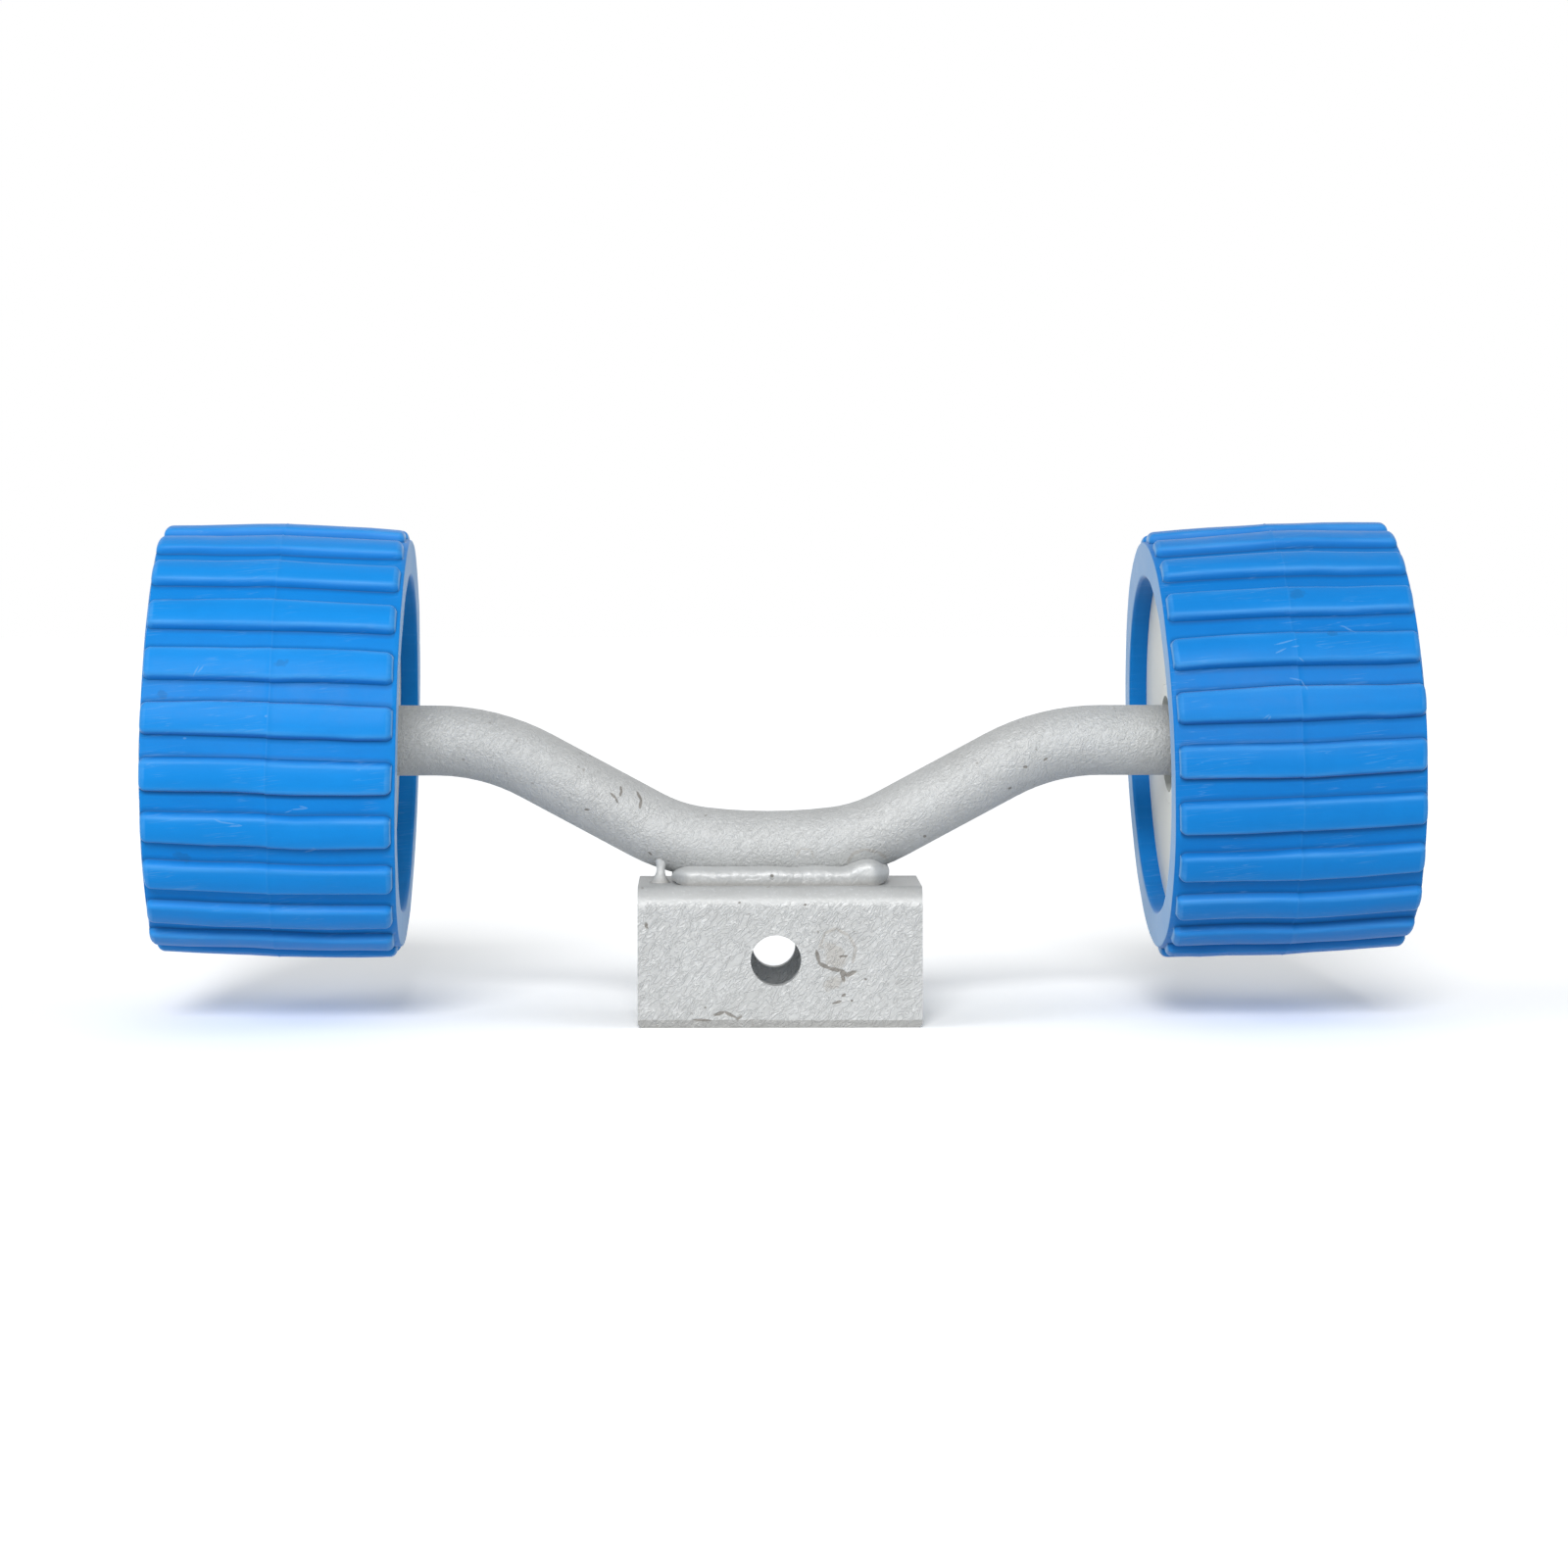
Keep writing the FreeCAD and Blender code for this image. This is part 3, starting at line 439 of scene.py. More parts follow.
# Painted shade: the right roller's blue is darker all over than the left's
BLUE_SIDE_SHADE = {"left": 0.02, "right": 0.32}
BLUE_CLOUDS = {"Broad": 45.0, "Fine": 260.0, "Contrast": 1.6}
BLUE_SCRATCHES = {"Turn": math.radians(6), "Across": 800.0, "Along": 30.0, "Amount": 0.16}
BLUE_RELIEF = 0.12 * MM
STREAK_STRETCH = (28.0, 260.0, 260.0)
GROOVE_SHADE_STEP = 0.2
GROOVE_SHARE = 0.4
EDGE_WEAR_AND_HIGHLIGHT = 0.3
SEAM_WEAR = 0.06
CREASE_SHADE_AMOUNT = 0.75
FACE_SHEEN_SHARE = 0.4
SMUDGE_AMOUNT = 0.3
SCUFF_AMOUNT = 0.32


def moulded_blue(side, side_shade, smudges, scuffs):
    """Blue tread with painted shade: darker in the grooves, in the creases and all over on the right roller;
    pale along the edges, from wear and a painted highlight; painted sheen on the side faces; handled.
    """
    material, tree, shader, place = new_material(f"{side}_moulded_blue")
    level, edge, seam, crease = (
        add(tree, "ShaderNodeAttribute", attribute_name=name).outputs["Fac"]
        for name in ("level", "edge", "seam", "crease")
    )
    tone = use_group(tree, MOTTLE, {"Place": place, **BLUE_CLOUDS})["Tone"]
    streak = noise(tree, vector_math(tree, "MULTIPLY", place, STREAK_STRETCH), 1.0, 3.0, 0.6)
    grain = use_group(tree, GRAIN, {"Place": place, "Fineness": GRAIN_FINENESS})
    scratch = use_group(tree, SCRATCHES, {"Place": place, **BLUE_SCRATCHES})["Mask"]
    clouds = calculate(tree, "MULTIPLY", tone, 0.25)
    streaks = calculate(tree, "MULTIPLY", streak, 0.3)
    cloudy = calculate(tree, "ADD", clouds, streaks)
    # Painted shade: grooves darker than ribs by the rib's height; the mottle mixes in the same deep blue
    painted_shade_share = calculate(tree, "ADD", calculate(tree, "MULTIPLY", level, GROOVE_SHADE_STEP), GROOVE_SHARE - side_shade)
    share = calculate(tree, "ADD", cloudy, painted_shade_share, clamp=True)
    colour = mix_colour(tree, share, BLUE_DEEP_TONE_AND_SHADE, BLUE)
    patchy = map_range(tree, streak, 0.35, 0.7, 0.35, 1.0)
    # Pale along the rib edges: partly wear, partly painted highlight
    worn_and_lit = calculate(tree, "MULTIPLY", edge, patchy)
    colour = tint(tree, colour, BLUE_WEAR_AND_HIGHLIGHT, worn_and_lit, EDGE_WEAR_AND_HIGHLIGHT)
    colour = tint(tree, colour, BLUE_WEAR_AND_HIGHLIGHT, seam, SEAM_WEAR)
    # Painted shade: dark lines in the creases at the ribs' feet
    colour = tint(tree, colour, BLUE_CREASE_SHADE, crease, CREASE_SHADE_AMOUNT)
    # Painted sheen: the side faces, whose normals run along the axis, are paler
    normal = tree.nodes.new("ShaderNodeTexCoord").outputs["Normal"]
    along = add(tree, "ShaderNodeSeparateXYZ", {0: normal}).outputs["X"]
    off_axis = add(tree, "ShaderNodeMath", {0: along}, operation="ABSOLUTE").outputs[0]
    colour = mix_colour(tree, map_range(tree, off_axis, 0.75, 0.97, 0.0, FACE_SHEEN_SHARE), colour, BLUE_FACE_SHEEN)
    colour = mix_colour(tree, scratch, colour, BLUE_SCUFF)
    colour = tint(tree, colour, BLUE_SMUDGE, marks_together(tree, place, smudges), SMUDGE_AMOUNT)
    colour = tint(tree, colour, BLUE_SCUFF, marks_together(tree, place, scuffs), SCUFF_AMOUNT)
    height = calculate(tree, "SUBTRACT", grain["Height"], calculate(tree, "MULTIPLY", scratch, 1.2))
    bump = add(tree, "ShaderNodeBump", {"Height": height, "Strength": 0.25, "Distance": BLUE_RELIEF})
    tree.links.new(colour, shader.inputs["Base Color"])
    tree.links.new(map_range(tree, tone, 0.0, 1.0, 0.40, 0.58), shader.inputs["Roughness"])
    tree.links.new(bump.outputs[0], shader.inputs["Normal"])
    shader.inputs["Specular IOR Level"].default_value = 0.16
    shader.inputs["Sheen Weight"].default_value = 0.3
    shader.inputs["Sheen Roughness"].default_value = 0.3
    return material


# Pale nylon of hubs and bushes

NYLON = (0.90, 0.91, 0.86, 1)
NYLON_SHADE = (0.80, 0.82, 0.77, 1)
NYLON_CLOUDS = {"Broad": 60.0, "Fine": 500.0, "Contrast": 1.5}
NYLON_SCRATCHES = {"Turn": math.radians(70), "Across": 1300.0, "Along": 70.0, "Amount": 0.3}
NYLON_RELIEF = 0.08 * MM


def pale_nylon(name):
    """Slightly greenish, slightly waxy grey plastic with faint flow marks and scuffs."""
    material, tree, shader, place = new_material(name)
    tone = use_group(tree, MOTTLE, {"Place": place, **NYLON_CLOUDS})["Tone"]
    grain = use_group(tree, GRAIN, {"Place": place, "Fineness": 1600.0})
    scratch = use_group(tree, SCRATCHES, {"Place": place, **NYLON_SCRATCHES})["Mask"]
    colour = mix_colour(tree, tone, NYLON_SHADE, NYLON)
    colour = mix_colour(tree, scratch, colour, NYLON_SHADE)
    bump = add(tree, "ShaderNodeBump", {"Height": grain["Height"], "Strength": 0.2, "Distance": NYLON_RELIEF})
    tree.links.new(colour, shader.inputs["Base Color"])
    tree.links.new(map_range(tree, tone, 0.0, 1.0, 0.34, 0.5), shader.inputs["Roughness"])
    tree.links.new(bump.outputs[0], shader.inputs["Normal"])
    return material


# Plated steel of screws, washers and split pins

PLATE = (0.62, 0.61, 0.585, 1)
PLATE_DULL = (0.42, 0.42, 0.41, 1)
PLATE_CLOUDS = {"Broad": 130.0, "Fine": 900.0, "Contrast": 2.0}
PLATE_SCRATCHES = {"Turn": math.radians(15), "Across": 2400.0, "Along": 160.0, "Amount": 0.5}
PLATE_RELIEF = 0.06 * MM


def plated_steel(name):
    """Thin zinc plate over steel, with drawn lines and duller patches."""
    material, tree, shader, place = new_material(name)
    tone = use_group(tree, MOTTLE, {"Place": place, **PLATE_CLOUDS})["Tone"]
    grain = use_group(tree, GRAIN, {"Place": place, "Fineness": 2600.0})
    scratch = use_group(tree, SCRATCHES, {"Place": place, **PLATE_SCRATCHES})["Mask"]
    colour = mix_colour(tree, tone, PLATE_DULL, PLATE)
    height = calculate(tree, "SUBTRACT", grain["Height"], scratch)
    bump = add(tree, "ShaderNodeBump", {"Height": height, "Strength": 0.25, "Distance": PLATE_RELIEF})
    tree.links.new(colour, shader.inputs["Base Color"])
    tree.links.new(map_range(tree, tone, 0.0, 1.0, 0.42, 0.24), shader.inputs["Roughness"])
    tree.links.new(bump.outputs[0], shader.inputs["Normal"])
    shader.inputs["Metallic"].default_value = 0.9
    return material


# What repeats round a roller's axis

MERGE_DISTANCE = 0.02 * MM
SAME_POINT = 0.001 * MM
WAVE_INSET = 0.12


def make_ring_tree():
    """Turned copies of a mesh round the X axis, merged into one skin and gently uneven."""
    tree = bpy.data.node_groups.new("ring_of_copies", "GeometryNodeTree")
    for name, kind, default in (
        ("Geometry", "Geometry", None),
        ("Copies", "Int", RIB_COUNT),
        ("Merge Distance", "Float", MERGE_DISTANCE),
        ("Waviness", "Float", 0.0),
        ("Wave Scale", "Float", 60.0),
        ("Seed", "Float", 1.0),
        ("Material", "Material", None),
    ):
        socket = tree.interface.new_socket(name, in_out="INPUT", socket_type=f"NodeSocket{kind}")
        if default is not None:
            socket.default_value = default
    tree.interface.new_socket("Geometry", in_out="OUTPUT", socket_type="NodeSocketGeometry")
    given = tree.nodes.new("NodeGroupInput").outputs
    result = tree.nodes.new("NodeGroupOutput").inputs

    points = add(tree, "GeometryNodeMeshLine", {"Count": given["Copies"], "Offset": (0, 0, 0)})
    index = tree.nodes.new("GeometryNodeInputIndex").outputs[0]
    pitch = calculate(tree, "DIVIDE", 2 * math.pi, given["Copies"])
    turn = calculate(tree, "MULTIPLY", index, pitch)
    euler = add(tree, "ShaderNodeCombineXYZ", {"X": turn}).outputs[0]
    rotation = add(tree, "FunctionNodeEulerToRotation", {"Euler": euler}).outputs[0]
    copies = add(tree, "GeometryNodeInstanceOnPoints", {
        "Points": points.outputs[0],
        "Instance": given["Geometry"],
        "Rotation": rotation,
    }).outputs[0]
    real = add(tree, "GeometryNodeRealizeInstances", {"Geometry": copies}).outputs[0]
    skin = add(tree, "GeometryNodeMergeByDistance", {
        "Geometry": real,
        "Distance": given["Merge Distance"],
    }).outputs[0]

    position = tree.nodes.new("GeometryNodeInputPosition").outputs[0]
    normal = tree.nodes.new("GeometryNodeInputNormal").outputs[0]
    soft = add(tree, "GeometryNodeInputNamedAttribute", {"Name": "soft"}, data_type="FLOAT").outputs[0]
    waves = add(tree, "ShaderNodeTexNoise", {
        "Vector": position,
        "W": given["Seed"],
        "Scale": given["Wave Scale"],
        "Detail": 1.0,
    }, noise_dimensions="4D").outputs["Color"]
    reach = calculate(tree, "MULTIPLY", given["Waviness"], soft)
    wander = vector_math(tree, "SUBTRACT", waves, (0.5, 0.5, 0.5))
    inwards = scaled(tree, normal, -WAVE_INSET)
    offset = scaled(tree, vector_math(tree, "ADD", wander, inwards), reach)
    uneven = add(tree, "GeometryNodeSetPosition", {"Geometry": skin, "Offset": offset}).outputs[0]
    smooth = add(tree, "GeometryNodeSetShadeSmooth", {"Geometry": uneven}).outputs[0]
    whole = add(tree, "GeometryNodeRealizeInstances", {"Geometry": smooth}).outputs[0]
    dressed = add(tree, "GeometryNodeSetMaterial", {
        "Geometry": whole,
        "Material": given["Material"],
    }).outputs[0]
    tree.links.new(dressed, result["Geometry"])
    return tree


RING = make_ring_tree()


def link(thing):
    """Put an object in the scene."""
    bpy.context.scene.collection.objects.link(thing)
    return thing


def ring_of(name, mesh, matrix, sizes):
    """Turn one mesh into a ring through the ring tree, as a plain mesh in its place."""
    source = link(bpy.data.objects.new(f"{name}_source", mesh))
    modifier = source.modifiers.new("ring", "NODES")
    modifier.node_group = RING
    for socket in RING.interface.items_tree:
        if socket.in_out == "INPUT" and socket.name in sizes:
            modifier[socket.identifier] = sizes[socket.name]
    evaluated = source.evaluated_get(bpy.context.evaluated_depsgraph_get())
    ring = bpy.data.meshes.new_from_object(evaluated)
    source.modifiers.remove(modifier)
    bpy.data.objects.remove(source)
    return finished_piece(name, ring, matrix)


def finished_piece(name, mesh, matrix=None):
    """An object at the origin whose closed mesh is in its place, with its faces outwards."""
    work = bmesh.new()
    work.from_mesh(mesh)
    if matrix is not None:
        bmesh.ops.transform(work, matrix=matrix, verts=work.verts)
    bmesh.ops.recalc_face_normals(work, faces=work.faces)
    work.to_mesh(mesh)
    work.free()
    mesh.name = name
    return link(bpy.data.objects.new(name, mesh))


def roller_matrix(side):
    """From a roller's own frame, with +X outwards along its axis, to its place at rest."""
    joint = next(joint for joint in frame["joints"] if joint["name"] == f"{side}_spin")
    outward = Vector(joint["axis"]) * (-1 if side == "left" else 1)
    yaw = Matrix.Rotation(math.atan2(outward.y, outward.x), 4, "Z")
    pitch = Matrix.Rotation(-math.asin(outward.z), 4, "Y")
    turn = Matrix.Rotation(ROLLER_TURN[side], 4, "X")
    return Matrix.Translation(joint["pos_m"]) @ yaw @ pitch @ turn


def grid_mesh(name, rows, closed_rows=False, closed_columns=False, attributes=()):
    """Quads between rows of points. attributes are (name, rows of numbers)."""
    work = bmesh.new()
    layers = [work.verts.layers.float.new(label) for label, _ in attributes]
    grid = []
    for here, row in enumerate(rows):
        grid.append([])
        for there, point in enumerate(row):
            vertex = work.verts.new(point)
            for layer, (_, values) in zip(layers, attributes):
                vertex[layer] = values[here][there]
            grid[-1].append(vertex)
    row_count = len(grid) if closed_rows else len(grid) - 1
    column_count = len(grid[0]) if closed_columns else len(grid[0]) - 1
    for here in range(row_count):
        upper = grid[here]
        lower = grid[(here + 1) % len(grid)]
        for there in range(column_count):
            beside = (there + 1) % len(upper)
            work.faces.new((upper[there], upper[beside], lower[beside], lower[there]))
    mesh = bpy.data.meshes.new(name)
    work.to_mesh(mesh)
    work.free()
    return mesh


# Ribbed tyres

HALF_WIDTH = ROLLER_WIDTH / 2
GROOVE_RADIUS = ROLLER_RADIUS - RIB_HEIGHT
SECTOR_HALF = GROOVE_RADIUS * math.pi / RIB_COUNT
TOP_ROUND = 0.95 * MM
TOP_CROWN = 0.25 * MM
FOOT_FILLET = 0.5 * MM
RIB_END_ROUND = 1.7 * MM
RIB_CORNER_ROUND = 1.3 * MM
RIB_FOOT_STEP = 0.02 * MM
FACE_LEDGE = {1: 0.35 * MM, -1: 1.3 * MM}
DRUM_EDGE_ROUND = 0.35 * MM
SEAT_ROUND = 0.8 * MM
SEAM_RIDGE = 0.12 * MM
SEAM_WIDTH = 0.3 * MM
MOULD_MISMATCH = 0.09 * MM
EASE = 0.35 * MM
TREAD_WAVES = 1.9 * MM
TREAD_WAVE_SCALE = 40.0


def rib_half_outline(half_width, height):
    """From a rib's middle to the groove's: points (across, up, edge wear and painted highlight, painted
    crease shade).
    """
    crown = TOP_CROWN if height > RIB_HEIGHT / 2 else 0
    top_round = min(TOP_ROUND, (height - crown) / 2)
    fillet = min(FOOT_FILLET, height / 3)
    flat = half_width - top_round
    shoulder = height - crown
    points = [(0, height, 0, 0), (flat * 0.5, height - crown * 0.25, 0, 0)]
    # Edge values: pale wear and painted highlight along the rib's rounded top edges
    points.append((flat - EASE, height - crown * 0.85, 0.15, 0))
    for degrees in (0, 30, 60, 90):
        turn = math.radians(degrees)
        wear_and_highlight = 1 if degrees in (30, 60) else 0.5
        across = flat + top_round * math.sin(turn)
        up = shoulder - top_round * (1 - math.cos(turn))
        points.append((across, up, wear_and_highlight if height > RIB_HEIGHT / 2 else 0, 0))
    foot = half_width + RIB_FLARE + fillet
    # Painted crease shade at the rib's foot
    for degrees, crease_shade in ((0, 0.4), (45, 1), (90, 0.6)):
        turn = math.radians(degrees)
        across = foot - fillet * math.cos(turn)
        points.append((across, fillet * (1 - math.sin(turn)), 0, crease_shade if height else 0))
    points.append(((foot + SECTOR_HALF) / 2, 0, 0, 0))
    points.append((SECTOR_HALF, 0, 0, 0))
    return points


def tread_stations(way):
    """The tread from one edge to the mould line: (x, radius, rib height, rib half width)."""
    slope = math.tan(MOULD_DRAFT)
    stations = []

    def add_station(x, height, narrowing=0):
        share = x / HALF_WIDTH
        width = RIB_HALF_WIDTH + (RIB_END_HALF_WIDTH - RIB_HALF_WIDTH) * share
        stations.append((x, GROOVE_RADIUS - x * slope, height, width - narrowing))

    end = HALF_WIDTH - FACE_LEDGE[way]
    add_station(end + RIB_FOOT_STEP, 0, RIB_CORNER_ROUND)
    for degrees in (90, 75, 60, 45, 30, 15, 0):
        turn = math.radians(degrees)
        drop = RIB_END_ROUND * (1 - math.cos(turn))
        narrowing = RIB_CORNER_ROUND * (1 - math.cos(turn))
        add_station(end - RIB_END_ROUND * (1 - math.sin(turn)), RIB_HEIGHT - drop, narrowing)
    straight = end - RIB_END_ROUND
    for share in (0.96, 0.75, 0.5, 0.25, 0.06):
        add_station(straight * share, RIB_HEIGHT)
    add_station(SEAM_WIDTH, RIB_HEIGHT)
    return stations


def tyre_section():
    """The closed section round the tyre's wall: (x, radius, rib height, rib half width, softness)."""
    edge_radius = GROOVE_RADIUS - HALF_WIDTH * math.tan(MOULD_DRAFT)
    seat_out = HALF_WIDTH - SEAT_ROUND
    slant = math.sqrt(0.5)
    wall = [
        (WEB_HALF - EASE, WEB_BORE_RADIUS),
        (WEB_HALF, WEB_BORE_RADIUS + EASE),
        (WEB_HALF, SEAT_RADIUS - EASE),
        (WEB_HALF + EASE, SEAT_RADIUS),
        (seat_out / 2, SEAT_RADIUS),
        (seat_out - EASE, SEAT_RADIUS),
        (seat_out, SEAT_RADIUS),
        (HALF_WIDTH - SEAT_ROUND * (1 - slant), SEAT_RADIUS + SEAT_ROUND * (1 - slant)),
        (HALF_WIDTH, SEAT_RADIUS + SEAT_ROUND),
        (HALF_WIDTH, SEAT_RADIUS + SEAT_ROUND + EASE),
        (HALF_WIDTH, (SEAT_RADIUS + edge_radius) / 2),
        (HALF_WIDTH, edge_radius - DRUM_EDGE_ROUND - EASE),
        (HALF_WIDTH, edge_radius - DRUM_EDGE_ROUND),
        (HALF_WIDTH - DRUM_EDGE_ROUND * (1 - slant), edge_radius - DRUM_EDGE_ROUND * (1 - slant)),
        (HALF_WIDTH - DRUM_EDGE_ROUND, edge_radius),
    ]
    narrow = RIB_END_HALF_WIDTH - RIB_CORNER_ROUND
    plain = [(x, radius, 0, narrow, 0.25 if x > WEB_HALF + EASE else 0) for x, radius in wall]
    outer, inner = (plain + [station + (1,) for station in tread_stations(way)] for way in (1, -1))
    seam = (0, GROOVE_RADIUS + SEAM_RIDGE, RIB_HEIGHT, RIB_HALF_WIDTH, 1)
    bore = (0, WEB_BORE_RADIUS, 0, narrow, 0)
    mirrored = [(-x, *rest) for x, *rest in reversed(inner)]
    return [bore] + outer + [seam] + mirrored


def tyre_sector():
    """One rib with half a groove on each side, over the tyre's whole wall."""
    rows, levels, edges, seams, creases, softness = [], [], [], [], [], []
    for x, radius, height, half_width, soft in tyre_section():
        half = rib_half_outline(half_width, height)
        outline = [(-across, *rest) for across, *rest in reversed(half[1:])] + half
        shift = MOULD_MISMATCH * max(-1, min(1, x / SEAM_WIDTH))
        row = []
        for across, up, *_ in outline:
            turn = (across + shift) / GROOVE_RADIUS
            reach = radius + up
            row.append((x, -reach * math.sin(turn), reach * math.cos(turn)))
        rows.append(row)
        levels.append([point[1] / RIB_HEIGHT for point in outline])
        # Rib ends: pale wear and painted highlight
        end_wear_and_highlight = 0.8 if RIB_HEIGHT * 0.6 < height < RIB_HEIGHT else 0
        edges.append([max(point[2], end_wear_and_highlight * point[1] / RIB_HEIGHT) for point in outline])
        creases.append([point[3] for point in outline])
        seams.append([1.0 if x == 0 and soft else 0.0] * len(outline))
        softness.append([soft] * len(outline))
    names = (("level", levels), ("edge", edges), ("seam", seams), ("crease", creases), ("soft", softness))
    return grid_mesh("tyre_sector", rows, closed_rows=True, attributes=names)


def make_tyre(side, material, seed):
    """A whole tyre, in place of the plain one."""
    tyre = ring_of(f"{side}_ribbed_tyre", tyre_sector(), roller_matrix(side), {
        "Copies": RIB_COUNT,
        "Merge Distance": MERGE_DISTANCE,
        "Waviness": TREAD_WAVES,
        "Wave Scale": TREAD_WAVE_SCALE,
        "Seed": float(seed),
        "Material": material,
    })
    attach(tyre, f"{side}_roller")
    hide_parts(f"{side}_tyre")


# Pan head screws

RECESS_REACH = 2.3 * MM
RECESS_HALF = 0.55 * MM
RECESS_DEPTH = 1.3 * MM
RECESS_SLOPE = 0.25 * MM
HEAD_STEPS = 64


def recess_depth(across, up):
    """Depth of the cross recess at a place on the head."""
    off_arm = min(abs(across), abs(up))
    beside = min(1, max(0, (RECESS_HALF + RECESS_SLOPE - off_arm) / RECESS_SLOPE))
    along = min(1, max(0, (RECESS_REACH + RECESS_SLOPE - math.hypot(across, up)) / RECESS_SLOPE))
    return RECESS_DEPTH * beside * along


def screw_mesh():
    """One screw along X on the screw circle's radius above the roller's axis, its head outwards."""
    crown = SCREW_SEAT + HEAD_HEIGHT
    rings = [(SCREW_SEAT - SCREW_LENGTH, 0.0), (SCREW_SEAT - SCREW_LENGTH, SCREW_RADIUS)]
    rings += [(SCREW_SEAT, SCREW_RADIUS), (SCREW_SEAT, HEAD_RADIUS - EASE), (SCREW_SEAT, HEAD_RADIUS)]
    for degrees in (0, 22.5, 45, 67.5, 90):
        turn = math.radians(degrees)
        reach = HEAD_RADIUS - HEAD_ROUND * (1 - math.cos(turn))
        rings.append((crown - HEAD_ROUND * (1 - math.sin(turn)), reach))
    flat = HEAD_RADIUS - HEAD_ROUND
    ring_steps = 12
    rings += [(crown, flat * (1 - step / ring_steps)) for step in range(1, ring_steps + 1)]
    rows = []
    for x, radius in rings:
        row = []
        for step in range(HEAD_STEPS):
            turn = 2 * math.pi * step / HEAD_STEPS
            across = radius * math.cos(turn)
            up = radius * math.sin(turn)
            sunk = recess_depth(across, up) if x == crown else 0
            row.append((x - sunk, across, up + SCREW_CIRCLE_RADIUS))
        rows.append(row)
    mesh = grid_mesh("screw", rows, closed_columns=True)
    work = bmesh.new()
    work.from_mesh(mesh)
    bmesh.ops.remove_doubles(work, verts=work.verts, dist=SAME_POINT)
    work.to_mesh(mesh)
    work.free()
    return mesh


def make_screws(side, material):
    """The four screws of one hub, in place of the plain ones."""
    first = Matrix.Rotation(-SCREW_TURN, 4, "X")
    screws = ring_of(f"{side}_pan_head_screws", screw_mesh(), roller_matrix(side) @ first, {
        "Copies": SCREW_COUNT,
        "Merge Distance": 0.0,
        "Waviness": 0.0,
        "Material": material,
    })
    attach(screws, f"{side}_roller")
    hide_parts(f"{side}_hub_screws")


# Weld beads

BEAD_STEPS = 300
BEAD_POINTS = 32
BEAD_END = 6 * MM
SINK = 0.2 * MM
BEAD_FACE_SHARE = 0.6
BEAD_RIDGE_SHARE = 0.85
BEAD_FOOT_INSET = 0.07
BEAD_FACE_TOP = 0.6
BEAD_RIDGE = (0.74, 0.87)
HOLD_HEIGHT = 4.9 * MM
TOP_WANDER = 0.3 * MM
TOP_WANDER_LENGTH = 7 * MM
FOOT_OUT = WELD_FOOT - 0.35 * MM
FOOT_WANDER = 0.5 * MM
FOOT_WANDER_LENGTH = 6 * MM
SMALLEST_GRIP = math.radians(25)
BLOB_PLACE = 25.2 * MM
BLOB_REACH = 5.4 * MM
BLOB_CLIMB = 1.6 * MM
BLOB_HEIGHT = 1.2 * MM
RIPPLE_PLACE = 5 * MM
RIPPLE_REACH = 9 * MM
RIPPLE_PITCH = 2.5 * MM
RIPPLE_HEIGHT = 0.42 * MM
RIPPLE_LAG = 2.4
RIPPLE_LEAST = 0.22
LUMP_HEIGHT = 0.5 * MM
LUMP_LENGTH = 6 * MM
PIMPLE_HEIGHT = 0.3 * MM
PIMPLE_LENGTH = 1.5 * MM
CRATER_PLACE = (-2.2 * MM, 0.5)
CRATER_REACH = 0.8 * MM
CRATER_DEPTH = 0.9 * MM


def bar_height(x):
    """Height of the bar's centre line over the bracket."""
    across = abs(x - CRANK_SHIFT)
    low = BRACKET_TOP + BAR_RADIUS
    saddle_end = SADDLE_RADIUS * math.sin(SADDLE_ANGLE)
    if across < saddle_end:
        return low + SADDLE_RADIUS - math.sqrt(SADDLE_RADIUS ** 2 - across ** 2)
    foot_across = (SADDLE_RADIUS - FOOT_RADIUS) * math.sin(SADDLE_ANGLE)
    foot_up = low + SADDLE_RADIUS - (SADDLE_RADIUS - FOOT_RADIUS) * math.cos(SADDLE_ANGLE)
    return foot_up - math.sqrt(FOOT_RADIUS ** 2 - (across - foot_across) ** 2)


def bead_profile(share):
    """How far out and up the bead is: a face that bulges, a round ridge, a flatter run to the bar."""
    ridge_out, ridge_up = BEAD_RIDGE
    if share < BEAD_FACE_SHARE:
        climb = share / BEAD_FACE_SHARE
        return 1 - BEAD_FOOT_INSET * (1 - climb) ** 2, BEAD_FACE_TOP * climb
    if share < BEAD_RIDGE_SHARE:
        turn = math.pi / 2 * (share - BEAD_FACE_SHARE) / (BEAD_RIDGE_SHARE - BEAD_FACE_SHARE)
        out = ridge_out + (1 - ridge_out) * math.cos(turn)
        return out, BEAD_FACE_TOP + (ridge_up - BEAD_FACE_TOP) * math.sin(turn)
    run = (share - BEAD_RIDGE_SHARE) / (1 - BEAD_RIDGE_SHARE)
    return ridge_out * (1 - run), ridge_up + (1 - ridge_up) * run


